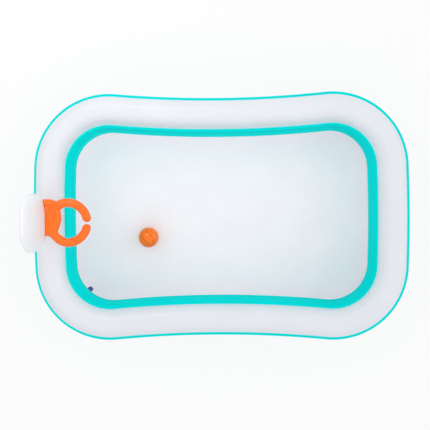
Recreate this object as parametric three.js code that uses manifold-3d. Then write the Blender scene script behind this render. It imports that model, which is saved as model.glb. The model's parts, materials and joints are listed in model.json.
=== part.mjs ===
// An inflatable family pool: two stacked air rings with a waisted outline, a
// floor sheet with a drain, an inflated backboard that stands on one end of the
// top ring, a split hoop on its face, and an inflated ball on the floor.
// Millimetres, +Z up. The origin is on the ground under the middle of the pool,
// +X runs along the pool and the backboard stands at the -X end.

import * as THREE from 'three';
import { mergeVertices } from 'three/addons/utils/BufferGeometryUtils.js';
import Module from 'manifold-3d';

const wasm = await Module();
wasm.setup();

// Vinyl sheet, and the clearances between pieces
const sheet = 0.4;
const seatGap = 0.3;
const runningGap = 0.3;

// Centre line that both rings share, seen from above
const pathHalfLength = 1141;
const shoulderHalfWidth = 712;
const waistDepth = 35;
const cornerRadius = 390;
const endRadius = 8600;

// Bottom ring, measured from its seam plane
const lowTubeHalfWidth = 116;
const lowTubeDrop = 107.6;
const lowTubeRise = 96;
const lowSeamWidth = 15;
const footBandHalfWidth = 40;
const floorOverlap = 25;

// Band where the rings are welded to each other
const stackBandHalfWidth = 34;

// Top ring, measured from its seam plane
const topTubeHalfWidth = 94;
const topTubeDrop = 96;
const topTubeRise = 94;
const topSeamWidth = 17.3;
const topCoverSeamWidth = 3.3;
const crestHalfWidth = 18;

// Air valve, measured along its axis from the sheet it is welded to
const valveFacet = 2;
const valveBaseRadius = 16;
const valveBaseThickness = 0.8;
const valveLipHeight = 2.2;
const valveLipWidth = 2;
const stemRadius = 5.5;
const stemWall = 2;
const stemOutLength = 9;
const stemInLength = 16;
const stemCollarRadius = 7.2;
const stemCollarDepth = 5.8;
const stemCollarThickness = 1;
const stopperDepth = 6;
const plugHeadRadius = 6.5;
const plugHeadThickness = 2.2;
const strapThickness = 1.2;
const strapWidth = 3.6;
const strapLoopWidth = 2.2;
const strapReach = 2.7;

// Drain in the floor
const drainEndInset = 209;
const drainSideInset = 198;
const drainFlangeRadius = 21;
const drainFlangeThickness = 1.2;
const drainBossRadius = 13;
const drainBossHeight = 6;
const drainBoreRadius = 8.5;
const drainHeadRadius = 11.5;
const drainHeadThickness = 2.4;
const drainTabWidth = 9;
const drainTabHeight = 7;
const drainTabThickness = 2.4;

// Backboard pillow, standing on the crest of the top ring, a little outside its middle
const boardHeight = 601;
const boardHalfWidth = 181;
const boardShiftY = -24.3;
const boardSetBack = 9;
const boardBulge = 44;
const boardSeamWidth = 8;
const boardRoundness = 2.93;
const boardHubShare = 0.22;
const boardRowShares = [0.5, 0.75, 0.92];
const saddleHalfWidth = 8;
const saddleHalfLength = 120;
const saddleThickness = 0.8;
const finHalfWidth = 100;
const finThickness = 0.8;
const finStand = 6;

// Hoop: a split ring with a wide root on the backboard's face
const hoopHeightShare = 0.24;
const hoopRadius = 127.9;
const hoopTubeRadius = 25.4;
const hoopReach = 177.7;
const hoopShiftY = -26.7;
const hoopSeamWidth = 2.5;
const hoopRootLift = 28;
const hoopGapTopAngle = 2.3;
const hoopGapBottomAngle = 355.4;
const hoopValveAngle = 180;
const hoopPatchHalfHeight = 22;
const hoopPatchMargin = 8;
const hoopPatchThickness = 0.8;

// Ball on the floor
const ballRadius = 71;
const ballEndInset = 634;
const ballShiftY = -147;
const ballCapAngle = 15;
const ballAxisShares = [-0.45, -0.8, -0.4];

// Fineness of the faceted forms
const endSteps = 1;
const cornerSteps = 7;
const waistSteps = 2;
const coverSteps = 4;
const tubeSteps = 3;
const hoopTubeSteps = 2;
const boardSides = 24;
const smallSides = 10;
const ballSides = 16;
const ballRowAngles = [35, 53, 71.5];
const strapSteps = 4;
const faceSearchSteps = 24;
const hoopPatchSteps = 20;
const cutOverrun = 2;

// Places that follow from the sizes above
const waistHalfWidth = shoulderHalfWidth - waistDepth;
const drainX = drainEndInset - pathHalfLength;
const drainY = drainSideInset - shoulderHalfWidth;
const ballX = ballEndInset - pathHalfLength;
const lowSeamHeight = sheet + lowTubeDrop;
const stackHeight = lowSeamHeight + lowTubeRise;
const topSeamHeight = stackHeight + topTubeDrop;
const crestHeight = topSeamHeight + topTubeRise;
const finFoot = crestHeight + saddleThickness + seatGap;
const boardBottom = finFoot + finStand;
const boardMiddle = boardBottom + boardHeight / 2;
const boardPlane = -(pathHalfLength + boardSetBack);
const hoopHeight = boardBottom + boardHeight * hoopHeightShare;
const hoopX = boardPlane + hoopReach;

// Colours and finishes of the sheets and mouldings
const white = { color: 0xeef2f6, roughness: 0.38, metalness: 0 };
const teal = { color: 0x04dad8, roughness: 0.36, metalness: 0 };
const orange = { color: 0xff7528, roughness: 0.34, metalness: 0 };
const ballOrange = { color: 0xff7828, roughness: 0.4, metalness: 0 };
const clearWhite = { color: 0xe6ebf2, roughness: 0.3, metalness: 0 };
const drainBlue = { color: 0x375596, roughness: 0.45, metalness: 0 };
const drainViolet = { color: 0x6a5fa5, roughness: 0.45, metalness: 0 };

const toRadians = THREE.MathUtils.degToRad;

// Solids and meshes

function signedVolume(points, triangles) {
  let volume = 0;
  for (let i = 0; i < triangles.length; i += 3) {
    const [a, b, c] = [points[triangles[i]], points[triangles[i + 1]], points[triangles[i + 2]]];
    volume += a[0] * (b[1] * c[2] - b[2] * c[1]);
    volume += a[1] * (b[2] * c[0] - b[0] * c[2]);
    volume += a[2] * (b[0] * c[1] - b[1] * c[0]);
  }
  return volume;
}

// A closed body from points and triangles, turned so that its faces point out.
function closedBody(points, triangles) {
  const index = [...triangles];
  if (signedVolume(points, index) < 0) {
    for (let i = 0; i < index.length; i += 3) {
      [index[i], index[i + 1]] = [index[i + 1], index[i]];
    }
  }
  const geometry = new THREE.BufferGeometry();
  geometry.setAttribute('position', new THREE.Float32BufferAttribute(points.flat(), 3));
  geometry.setIndex(index);
  geometry.computeVertexNormals();
  return geometry;
}

function toSolid(geometry) {
  const bare = geometry.clone();
  bare.deleteAttribute('normal');
  bare.deleteAttribute('uv');
  const merged = mergeVertices(bare);
  return new wasm.Manifold(new wasm.Mesh({
    numProp: 3,
    vertProperties: Float32Array.from(merged.attributes.position.array),
    triVerts: Uint32Array.from(merged.index.array),
  }));
}

// Drops the doubled points and empty triangles of a closed form.
function tidied(geometry) {
  return toGeometry(toSolid(geometry));
}

function toGeometry(solid) {
  const mesh = solid.getMesh();
  const geometry = new THREE.BufferGeometry();
  geometry.setAttribute('position', new THREE.BufferAttribute(mesh.vertProperties, 3));
  geometry.setIndex(new THREE.BufferAttribute(mesh.triVerts, 1));
  geometry.computeVertexNormals();
  return geometry;
}

// Adds the quads between two loops of points that start at two indices. Quads from
// crossFrom on are split along their other diagonal.
function stitch(triangles, first, second, count, crossFrom = count) {
  for (let j = 0; j < count; j += 1) {
    const k = (j + 1) % count;
    if (j < crossFrom) {
      triangles.push(first + j, second + j, second + k);
      triangles.push(first + j, second + k, first + k);
    } else {
      triangles.push(first + j, second + j, first + k);
      triangles.push(second + j, second + k, first + k);
    }
  }
}

function turned(points, sides) {
  const profile = [...points, points[0]].map(([radius, height]) => new THREE.Vector2(radius, height));
  const geometry = new THREE.LatheGeometry(profile, sides);
  geometry.rotateX(Math.PI / 2);
  return geometry;
}

function disc(radius, from, to, farRadius = radius) {
  const geometry = new THREE.CylinderGeometry(farRadius, radius, to - from, smallSides);
  geometry.rotateX(Math.PI / 2);
  geometry.translate(0, 0, (from + to) / 2);
  return geometry;
}

const pool = new THREE.Group();

function addPiece(name, geometry, finish, placement) {
  const mesh = new THREE.Mesh(geometry, new THREE.MeshStandardMaterial(finish));
  mesh.name = name;
  if (placement) {
    mesh.applyMatrix4(placement);
  }
  pool.add(mesh);
  return mesh;
}

// The rings' shared centre line

function arcStations(centreX, centreY, radius, from, to, steps, outward) {
  const stations = [];
  for (let i = 0; i <= steps; i += 1) {
    const angle = from + (to - from) * (i / steps);
    stations.push({
      x: centreX + radius * Math.cos(angle),
      y: centreY + radius * Math.sin(angle),
      normalX: outward * Math.cos(angle),
      normalY: outward * Math.sin(angle),
    });
  }
  return stations;
}

// One quarter of the outline is a flat end arc, a corner arc and a hollow waist arc,
// each tangent to the next.
function quarterPath() {
  const cornerY = shoulderHalfWidth - cornerRadius;
  const endCentreX = pathHalfLength - endRadius;
  const cornerX = endCentreX + Math.sqrt((endRadius - cornerRadius) ** 2 - cornerY ** 2);
  const waistRise = cornerX ** 2 + (waistHalfWidth - cornerY) ** 2 - cornerRadius ** 2;
  const waistRadius = waistRise / (2 * waistDepth);
  const waistCentreY = waistHalfWidth + waistRadius;
  const endTurn = Math.atan2(cornerY, cornerX - endCentreX);
  const waistTurn = Math.atan2(waistCentreY - cornerY, -cornerX);
  return [
    ...arcStations(endCentreX, 0, endRadius, 0, endTurn, endSteps, 1),
    ...arcStations(cornerX, cornerY, cornerRadius, endTurn, waistTurn, cornerSteps, 1).slice(1),
    ...arcStations(0, waistCentreY, waistRadius, waistTurn + Math.PI, 1.5 * Math.PI, waistSteps, -1).slice(1),
  ];
}

function mirrored(station, signX, signY) {
  return {
    x: signX * station.x,
    y: signY * station.y,
    normalX: signX * station.normalX,
    normalY: signY * station.normalY,
  };
}

function closedPath() {
  const quarter = quarterPath();
  const back = quarter.slice(0, -1).reverse();
  return [
    ...quarter,
    ...back.map((station) => mirrored(station, -1, 1)),
    ...quarter.slice(1).map((station) => mirrored(station, -1, -1)),
    ...back.slice(0, -1).map((station) => mirrored(station, 1, -1)),
  ];
}

const ringPath = closedPath();
const stationsPerQuarter = ringPath.length / 4;

// The skins of the rings

// Outside of half a tube from its outer seam edge to its inner one, as
// [offset, height] pairs: two quarter ellipses with a flat band between them.
function skinOutline(halfWidth, reach, band, seamWidth, edgeHeight, steps) {
  const side = [[halfWidth + seamWidth, edgeHeight], [halfWidth, edgeHeight]];
  for (let i = 1; i <= steps; i += 1) {
    const turn = (Math.PI / 2) * (i / steps);
    side.push([band + (halfWidth - band) * Math.cos(turn), reach * Math.sin(turn)]);
  }
  return [...side, ...side.map(([offset, height]) => [-offset, height]).reverse()];
}

// The closed section of one skin: its outside, then its inside one sheet further in.
function skinSection({ halfWidth, reach, band, seamWidth, steps }) {
  const outside = skinOutline(halfWidth, reach, band, seamWidth, sheet, steps);
  const inside = skinOutline(halfWidth - sheet, reach - sheet, band, seamWidth + sheet, 0, steps);
  return [...outside, ...inside.reverse()];
}

function sweepRing(section, seamHeight, side) {
  const points = [];
  const triangles = [];
  for (const station of ringPath) {
    for (const [offset, height] of section) {
      points.push([
        station.x + offset * station.normalX,
        station.y + offset * station.normalY,
        seamHeight + side * height,
      ]);
    }
  }
  ringPath.forEach((_, i) => {
    const next = (i + 1) % ringPath.length;
    stitch(triangles, i * section.length, next * section.length, section.length);
  });
  return closedBody(points, triangles);
}

// Where a valve sits: the middle of one facet of a skin. The local +Z points out of
// the tube and +X lies along the ring.
function facetSeat(section, seamHeight, side, chord) {
  const ends = [chord, chord + 1].map((i) => ringPath[i % ringPath.length]);
  const corner = (station, [offset, height]) => new THREE.Vector3(
    station.x + offset * station.normalX,
    station.y + offset * station.normalY,
    seamHeight + side * height,
  );
  const low = ends.map((station) => corner(station, section[valveFacet]));
  const high = ends.map((station) => corner(station, section[valveFacet + 1]));
  const along = new THREE.Vector3().subVectors(low[1], low[0]).normalize();
  const across = new THREE.Vector3().subVectors(high[0], low[0]);
  across.addScaledVector(along, -across.dot(along)).normalize();
  const out = new THREE.Vector3().crossVectors(along, across);
  const corners = [...low, ...high];
  const centre = new THREE.Vector3();
  corners.forEach((point) => centre.addScaledVector(point, 1 / corners.length));
  if (out.x * ends[0].normalX + out.y * ends[0].normalY < 0) {
    out.negate();
    across.negate();
  }
  return new THREE.Matrix4().makeBasis(along, across, out).setPosition(centre);
}

// Cuts a valve's round hole through a skin at its seat.
function punch(geometry, seat) {
  const cutter = disc(valveHoleRadius(), -cutOverrun, cutOverrun);
  cutter.applyMatrix4(seat);
  return toGeometry(toSolid(geometry).subtract(toSolid(cutter)));
}

// Air valves

function valveHoleRadius() {
  return stemCollarRadius + runningGap;
}

// Height of the strap's loop over the sheet, with the stem pushed in.
function strapLoopFoot() {
  return valveLipHeight + seatGap;
}

function valveBase() {
  const hole = valveHoleRadius();
  return turned([
    [hole, seatGap],
    [valveBaseRadius, seatGap],
    [valveBaseRadius, seatGap + valveBaseThickness],
    [hole + valveLipWidth, seatGap + valveBaseThickness],
    [hole + valveLipWidth / 2, valveLipHeight],
    [hole, valveLipHeight],
  ], smallSides);
}

function valveStem() {
  const bore = stemRadius - stemWall;
  const collarTop = -stemCollarDepth;
  const collarFoot = collarTop - stemCollarThickness;
  return turned([
    [bore, -stemInLength],
    [stemRadius, -stemInLength],
    [stemRadius, collarFoot],
    [stemCollarRadius, collarFoot],
    [stemCollarRadius, collarTop],
    [stemRadius, collarTop],
    [stemRadius, stemOutLength],
    [bore, stemOutLength],
  ], smallSides);
}

// A plug with its head, and the strap that ties it to a loop round the neck below.
function captivePlug({ stopperRadius, stopperFoot, headRadius, headFoot, headTop, neckRadius, loopFoot, tip }) {
  const loopInner = neckRadius + runningGap;
  const loopOuter = loopInner + strapLoopWidth;
  const loopTop = loopFoot + strapThickness;
  const strapTop = headFoot + strapThickness;
  const bend = Math.max(loopOuter, headRadius) + strapReach / 2;
  const bendRadius = (strapTop - loopFoot) / 2;
  const bendCentre = (strapTop + loopFoot) / 2;
  const start = headRadius - strapLoopWidth;
  const overlap = strapThickness / 4;

  const profile = new THREE.Shape();
  profile.moveTo(start, strapTop);
  profile.absarc(bend, bendCentre, bendRadius, Math.PI / 2, -Math.PI / 2, true);
  profile.lineTo(loopInner + strapLoopWidth / 2, loopFoot);
  profile.lineTo(loopInner + strapLoopWidth / 2, loopTop);
  profile.absarc(bend, bendCentre, bendRadius - strapThickness, -Math.PI / 2, Math.PI / 2, false);
  profile.lineTo(start, headFoot);
  profile.closePath();
  const strap = new THREE.ExtrudeGeometry(profile, {
    depth: strapWidth,
    bevelEnabled: false,
    curveSegments: strapSteps,
  });
  strap.rotateX(Math.PI / 2);
  strap.translate(0, strapWidth / 2, 0);

  const loop = turned([
    [loopInner, loopFoot],
    [loopOuter, loopFoot],
    [loopOuter, loopTop],
    [loopInner, loopTop],
  ], smallSides);
  let plug = toSolid(disc(headRadius, headFoot, headTop));
  plug = plug.add(toSolid(disc(stopperRadius - tip, stopperFoot, headFoot + overlap, stopperRadius)));
  return plug.add(toSolid(loop)).add(toSolid(strap));
}

function valvePlug() {
  const bore = stemRadius - stemWall;
  return toGeometry(captivePlug({
    stopperRadius: bore - runningGap,
    stopperFoot: stemOutLength - stopperDepth,
    headRadius: plugHeadRadius,
    headFoot: stemOutLength,
    headTop: stemOutLength + plugHeadThickness,
    neckRadius: stemRadius,
    loopFoot: strapLoopFoot(),
    tip: runningGap,
  }));
}

function addValve(name, seat) {
  addPiece(`${name}_valve_base`, valveBase(), clearWhite, seat);
  addPiece(`${name}_valve_stem`, valveStem(), clearWhite, seat);
  addPiece(`${name}_valve_plug`, valvePlug(), clearWhite, seat);
}

// Rings and floor

const lowTopSection = skinSection({
  halfWidth: lowTubeHalfWidth,
  reach: lowTubeRise,
  band: stackBandHalfWidth,
  seamWidth: lowSeamWidth,
  steps: tubeSteps,
});
const topBottomSection = skinSection({
  halfWidth: topTubeHalfWidth,
  reach: topTubeDrop,
  band: stackBandHalfWidth,
  seamWidth: topSeamWidth,
  steps: tubeSteps,
});

function addBottomRing() {
  const footSection = skinSection({
    halfWidth: lowTubeHalfWidth,
    reach: lowTubeDrop,
    band: footBandHalfWidth,
    seamWidth: lowSeamWidth,
    steps: tubeSteps,
  });
  const seat = facetSeat(lowTopSection, lowSeamHeight, 1, 3 * stationsPerQuarter);
  addPiece('bottom_ring_lower_skin', sweepRing(footSection, lowSeamHeight, -1), white);
  addPiece('bottom_ring_upper_skin', punch(sweepRing(lowTopSection, lowSeamHeight, 1), seat), teal);
  addValve('bottom_ring', seat);
}

function addTopRing() {
  const coverSection = skinSection({
    halfWidth: topTubeHalfWidth,
    reach: topTubeRise,
    band: crestHalfWidth,
    seamWidth: topCoverSeamWidth,
    steps: coverSteps,
  });
  const seat = facetSeat(topBottomSection, topSeamHeight, -1, 3 * stationsPerQuarter - 1);
  addPiece('top_ring_lower_skin', punch(sweepRing(topBottomSection, topSeamHeight, -1), seat), teal);
  addPiece('top_ring_upper_skin', sweepRing(coverSection, topSeamHeight, 1), white);
  addValve('top_ring', seat);
}

function addFloor() {
  const outline = ringPath.map((station) => new THREE.Vector2(
    station.x + floorOverlap * station.normalX,
    station.y + floorOverlap * station.normalY,
  ));
  const shape = new THREE.Shape(outline);
  const hole = new THREE.Path();
  hole.absarc(drainX, drainY, drainBoreRadius, 0, 2 * Math.PI, true);
  shape.holes.push(hole);
  const floor = new THREE.ExtrudeGeometry(shape, {
    depth: sheet,
    bevelEnabled: false,
    curveSegments: smallSides,
  });
  addPiece('floor_sheet', floor, white);
}

function addDrain() {
  const bossTop = sheet + drainBossHeight;
  const headTop = bossTop + drainHeadThickness;
  const place = new THREE.Matrix4().makeTranslation(drainX, drainY, 0);
  addPiece('drain_flange', turned([
    [drainBoreRadius, sheet],
    [drainFlangeRadius, sheet],
    [drainFlangeRadius, sheet + drainFlangeThickness],
    [drainBossRadius, sheet + drainFlangeThickness],
    [drainBossRadius, bossTop],
    [drainBoreRadius, bossTop],
  ], smallSides), drainBlue, place);

  const tab = new THREE.BoxGeometry(drainTabWidth, drainTabThickness, drainTabHeight + drainHeadThickness);
  tab.translate(0, 0, bossTop + (drainTabHeight + drainHeadThickness) / 2);
  const plug = captivePlug({
    stopperRadius: drainBoreRadius - runningGap,
    stopperFoot: sheet,
    headRadius: drainHeadRadius,
    headFoot: bossTop,
    headTop,
    neckRadius: drainBossRadius,
    loopFoot: sheet + drainFlangeThickness + seatGap,
    tip: runningGap,
  });
  addPiece('drain_plug', toGeometry(plug.add(toSolid(tab))), drainViolet, place);
}

// Backboard

// Unit superellipse that gives the backboard its rounded outline.
function boardRim(angle) {
  const power = 2 / boardRoundness;
  const [c, s] = [Math.cos(angle), Math.sin(angle)];
  return [Math.sign(c) * Math.abs(c) ** power, Math.sign(s) * Math.abs(s) ** power];
}

const boardTube = {
  halfWidth: boardHalfWidth - boardSeamWidth,
  halfHeight: boardHeight / 2 - boardSeamWidth,
};

// How far the front of the pillow stands forward of its seam plane at a point.
function boardFace(y, z) {
  const across = Math.abs(y - boardShiftY) / boardTube.halfWidth;
  const up = Math.abs(z - boardMiddle) / boardTube.halfHeight;
  const rank = Math.min(across ** boardRoundness + up ** boardRoundness, 1);
  return boardBulge * Math.sqrt(1 - rank ** (2 / boardRoundness));
}

// One surface of a pillow skin as rows from the seam edge in to the hub.
function boardRows(inset, side) {
  const halfWidth = boardTube.halfWidth - inset;
  const halfHeight = boardTube.halfHeight - inset;
  const edge = sheet - inset;
  const row = (growth, share, lift) => {
    const points = [];
    for (let i = 0; i < boardSides; i += 1) {
      const [c, s] = boardRim((2 * Math.PI * i) / boardSides);
      points.push([
        boardPlane + side * lift,
        boardShiftY + c * (halfWidth * share + growth),
        boardMiddle + s * (halfHeight * share + growth),
      ]);
    }
    return points;
  };
  const shares = [...boardRowShares].reverse();
  return [
    row(boardSeamWidth + inset, 1, edge),
    row(0, 1, edge),
    ...shares.map((share) => row(0, share, (boardBulge - inset) * Math.sqrt(1 - share ** 2))),
    row(0, boardHubShare, (boardBulge - inset) * Math.sqrt(1 - boardHubShare ** 2)),
  ];
}

function boardSkin(side) {
  const points = [];
  const triangles = [];
  const rims = [];
  for (const inset of [0, sheet]) {
    const rows = boardRows(inset, side);
    const first = points.length;
    const last = first + (rows.length - 1) * boardSides;
    const hub = last + boardSides;
    const surface = [];
    rows.forEach((row) => points.push(...row));
    points.push([rows[rows.length - 1][0][0], boardShiftY, boardMiddle]);
    for (let start = first; start < last; start += boardSides) {
      stitch(surface, start, start + boardSides, boardSides);
    }
    for (let i = 0; i < boardSides; i += 1) {
      surface.push(last + i, hub, last + ((i + 1) % boardSides));
    }
    // The inside faces the other way.
    triangles.push(...(inset === 0 ? surface : surface.reverse()));
    rims.push(first);
  }
  stitch(triangles, rims[1], rims[0], boardSides);
  return closedBody(points, triangles);
}

function addBackboard() {
  const hubLift = boardBulge * Math.sqrt(1 - boardHubShare ** 2);
  const seat = new THREE.Matrix4().makeBasis(
    new THREE.Vector3(0, -1, 0),
    new THREE.Vector3(0, 0, 1),
    new THREE.Vector3(-1, 0, 0),
  ).setPosition(boardPlane - hubLift, boardShiftY, boardMiddle);
  addPiece('backboard_front_skin', boardSkin(1), white);
  addPiece('backboard_back_skin', punch(boardSkin(-1), seat), white);
  addValve('backboard', seat);
}

// The fin is welded behind the pillow's seam and stands on the saddle patch.
function addBackboardFoot() {
  const steps = boardSides / 2;
  const rimHeight = (y) => {
    const halfWidth = boardTube.halfWidth + seatGap;
    const halfHeight = boardTube.halfHeight + seatGap;
    const share = Math.abs(y) / halfWidth;
    return boardMiddle - halfHeight * (1 - share ** boardRoundness) ** (1 / boardRoundness);
  };
  const outline = [new THREE.Vector2(finHalfWidth, finFoot), new THREE.Vector2(-finHalfWidth, finFoot)];
  for (let i = 0; i <= steps; i += 1) {
    const y = finHalfWidth * (2 * (i / steps) - 1);
    outline.push(new THREE.Vector2(y, rimHeight(y)));
  }
  const fin = new THREE.ExtrudeGeometry(new THREE.Shape(outline), { depth: finThickness, bevelEnabled: false });
  fin.rotateX(Math.PI / 2);
  fin.rotateZ(Math.PI / 2);
  fin.translate(boardPlane - sheet - finThickness, boardShiftY, 0);
  addPiece('backboard_foot_fin', fin, white);

  const saddle = new THREE.BoxGeometry(2 * saddleHalfWidth, 2 * saddleHalfLength, saddleThickness);
  saddle.translate(boardPlane, boardShiftY, crestHeight + saddleThickness / 2);
  addPiece('backboard_saddle_patch', saddle, white);
}

// Hoop

// Edge of the hoop's weld round its centre, as [angle, outer share, inner share].
// The shares are of the plain ring's outer and inner radius. A null outer share
// marks the stretch that lies along the backboard's face.
const rootEdgeShares = [
  [100, 1, 1],
  [108, 1, 0.972],
  [115, 0.985, 0.953],
  [119.5, 1.03, 0.915],
  [124, 1.165, 0.745],
  [129.5, 1.26, 0.637],
  [134.5, 1.315, 0.56],
  [139.5, null, 0.513],
  [147, null, 0.465],
  [157, null, 0.43],
  [168, null, 0.42],
  [180, null, 0.43],
  [190, null, 0.452],
  [201, null, 0.507],
  [210.5, null, 0.603],
  [215, 0.948, 0.662],
  [220, 0.924, 0.787],
  [226, 0.92, 0.868],
  [236, 0.944, 0.9],
  [247, 0.972, 0.921],
  [257, 0.984, 0.955],
  [267, 1, 1],
];

const hoopOuterRadius = hoopRadius + hoopTubeRadius + hoopSeamWidth;
const hoopInnerRadius = hoopRadius - hoopTubeRadius - hoopSeamWidth;

// Radius at which a ray from the hoop's centre meets the weld patch on the board.
function faceRadius(angle) {
  // Gaps before and behind the patch, and one for the facets' sag between stations.
  const stand = hoopPatchThickness + 3 * seatGap;
  let radius = hoopOuterRadius;
  for (let i = 0; i < faceSearchSteps; i += 1) {
    const y = hoopShiftY + radius * Math.sin(angle);
    radius = (boardPlane + boardFace(y, hoopHeight) + stand - hoopX) / Math.cos(angle);
  }
  return radius;
}

// Stations round the hoop: the two rounded ends, the plain arms and the root.
function hoopStations() {
  const plainShares = [0.3, 0.48, 0.66, 0.84];
  const endShares = [0, 0.134, 0.5, 1];
  const endTurn = THREE.MathUtils.radToDeg(hoopTubeRadius / hoopRadius);
  const station = (degrees, outer, inner, fullness = 1) => {
    const middle = (outer + inner) / 2;
    const halfWidth = ((outer - inner) / 2 - hoopSeamWidth) * fullness;
    return { angle: toRadians(degrees), middle, halfWidth, lift: Math.min(halfWidth, hoopRootLift) };
  };
  const plain = (degrees, fullness) => station(degrees, hoopOuterRadius, hoopInnerRadius, fullness);
  const fullness = (share) => Math.sqrt(1 - (1 - share) ** 2);
  const root = rootEdgeShares.map(([degrees, outer, inner]) => station(
    degrees,
    outer === null ? faceRadius(toRadians(degrees)) : outer * hoopOuterRadius,
    inner * hoopInnerRadius,
  ));
  const rootStart = rootEdgeShares[0][0];
  const rootEnd = rootEdgeShares[rootEdgeShares.length - 1][0];
  const upperArm = [
    ...endShares.map((share) => plain(hoopGapTopAngle + endTurn * share, fullness(share))),
    ...plainShares.map((share) => plain(hoopGapTopAngle + (rootStart - hoopGapTopAngle) * share, 1)),
  ];
  const lowerArm = [
    ...endShares.map((share) => plain(hoopGapBottomAngle - endTurn * share, fullness(share))),
    ...plainShares.map((share) => plain(hoopGapBottomAngle - (hoopGapBottomAngle - rootEnd) * share, 1)),
  ].reverse();
  return [...upperArm, ...root, ...lowerArm];
}

function hoopSkin(side) {
  const points = [];
  const triangles = [];
  const stations = hoopStations();
  let count = 0;
  let half = 0;
  for (const { angle, middle, halfWidth, lift } of stations) {
    const tube = Math.max(halfWidth, sheet * 4);
    const band = lift < sheet ? sheet : Math.max(tube - lift, sheet / 2);
    const outside = skinOutline(tube, lift, band, hoopSeamWidth, sheet, hoopTubeSteps);
    const inside = skinOutline(tube - sheet, lift - sheet, band - sheet / 4, hoopSeamWidth + sheet, 0, hoopTubeSteps);
    const section = [
      ...outside.map(([offset, height]) => [offset, Math.max(height, sheet)]),
      ...inside.map(([offset, height]) => [offset, Math.max(height, 0)]).reverse(),
    ];
    count = section.length;
    half = outside.length;
    for (const [offset, height] of section) {
      points.push([
        hoopX + (middle + offset) * Math.cos(angle),
        hoopShiftY + (middle + offset) * Math.sin(angle),
        hoopHeight + side * height,
      ]);
    }
  }
  // The inside runs back, so it takes the other diagonal to stay level with the outside.
  for (let i = 0; i + 1 < stations.length; i += 1) {
    stitch(triangles, i * count, (i + 1) * count, count, half);
  }
  const lastStation = (stations.length - 1) * count;
  for (let j = 0; j + 1 < half; j += 1) {
    const k = count - 1 - j;
    triangles.push(j, j + 1, k - 1, j, k - 1, k);
    triangles.push(lastStation + j + 1, lastStation + j, lastStation + k);
    triangles.push(lastStation + j + 1, lastStation + k, lastStation + k - 1);
  }
  return closedBody(points, triangles);
}

// A strip of sheet that follows the backboard's face behind the hoop's root.
function hoopPatch() {
  const onFace = rootEdgeShares.filter(([, outer]) => outer === null).map(([degrees]) => toRadians(degrees));
  const edgeY = [onFace[0], onFace[onFace.length - 1]].map((angle) => (
    hoopShiftY + faceRadius(angle) * Math.sin(angle)
  ));
  const from = Math.min(...edgeY) - hoopPatchMargin;
  const to = Math.max(...edgeY) + hoopPatchMargin;
  const columns = hoopPatchSteps;
  const points = [];
  const triangles = [];
  for (let i = 0; i <= columns; i += 1) {
    const y = from + (to - from) * (i / columns);
    const corners = [[0, -1], [1, -1], [1, 1], [0, 1]];
    for (const [outward, up] of corners) {
      const z = hoopHeight + up * hoopPatchHalfHeight;
      points.push([boardPlane + boardFace(y, z) + seatGap + outward * hoopPatchThickness, y, z]);
    }
  }
  for (let i = 0; i < columns; i += 1) {
    stitch(triangles, i * 4, (i + 1) * 4, 4);
  }
  const last = columns * 4;
  triangles.push(0, 1, 2, 0, 2, 3);
  triangles.push(last + 2, last + 1, last, last + 3, last + 2, last);
  return closedBody(points, triangles);
}

function addHoop() {
  const [, , innerShare] = rootEdgeShares.find(([degrees]) => degrees === hoopValveAngle);
  const seatRadius = (faceRadius(toRadians(hoopValveAngle)) + innerShare * hoopInnerRadius) / 2;
  const seat = new THREE.Matrix4().makeBasis(
    new THREE.Vector3(0, -1, 0),
    new THREE.Vector3(-1, 0, 0),
    new THREE.Vector3(0, 0, -1),
  ).setPosition(hoopX - seatRadius, hoopShiftY, hoopHeight - hoopRootLift);
  addPiece('hoop_upper_skin', tidied(hoopSkin(1)), orange);
  addPiece('hoop_lower_skin', punch(hoopSkin(-1), seat), orange);
  addPiece('hoop_weld_patch', hoopPatch(), orange);
  addValve('hoop', seat);
}

// Ball

// Profile of half the ball, from the rim of its flat cap out to the weld.
function ballProfile(radius, capRadius, edge) {
  const capHeight = radius * Math.cos(toRadians(ballCapAngle));
  const rows = [ballCapAngle, ...ballRowAngles].map((degrees) => [
    radius * Math.sin(toRadians(degrees)),
    radius * Math.cos(toRadians(degrees)),
  ]);
  return [[capRadius, capHeight], ...rows, [radius, edge]];
}

function ballHalf(capRadius) {
  const outside = ballProfile(ballRadius, capRadius, seatGap / 2);
  const inside = ballProfile(ballRadius - sheet, capRadius, seatGap / 2);
  return turned([...inside, ...outside.reverse()], ballSides);
}

function addBall() {
  const axis = new THREE.Vector3(...ballAxisShares).normalize();
  const turn = new THREE.Quaternion().setFromUnitVectors(new THREE.Vector3(0, 0, 1), axis);
  const flip = new THREE.Matrix4().makeRotationX(Math.PI);
  const place = new THREE.Matrix4().makeRotationFromQuaternion(turn);
  const halves = [ballHalf(valveHoleRadius()), tidied(ballHalf(0)).applyMatrix4(flip)];
  const box = new THREE.Box3();
  halves.forEach((half) => {
    const copy = half.clone().applyMatrix4(place);
    copy.computeBoundingBox();
    box.union(copy.boundingBox);
  });
  place.setPosition(ballX, ballShiftY, sheet + seatGap - box.min.z);
  const capHeight = ballRadius * Math.cos(toRadians(ballCapAngle));
  const seat = place.clone().multiply(new THREE.Matrix4().makeTranslation(0, 0, capHeight));
  addPiece('ball_valve_half_skin', halves[0], ballOrange, place);
  addPiece('ball_plain_half_skin', halves[1], ballOrange, place);
  addValve('ball', seat);
}

addFloor();
addBottomRing();
addTopRing();
addDrain();
addBackboard();
addBackboardFoot();
addHoop();
addBall();

export default pool;
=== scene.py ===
"""An inflatable family pool with a backboard, a split hoop and a ball, on a pale floor.

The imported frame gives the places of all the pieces. Each welded sheet is a surface worked
out with numpy on a grid, which is then given the thickness of the sheet. Metres, +Z up,
with the origin on the ground under the middle of the pool.
"""

from __future__ import annotations

import json
import logging
import math
from dataclasses import dataclass
from enum import Enum

import bmesh
import bpy
import numpy as np
from mathutils import Matrix, Vector

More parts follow.
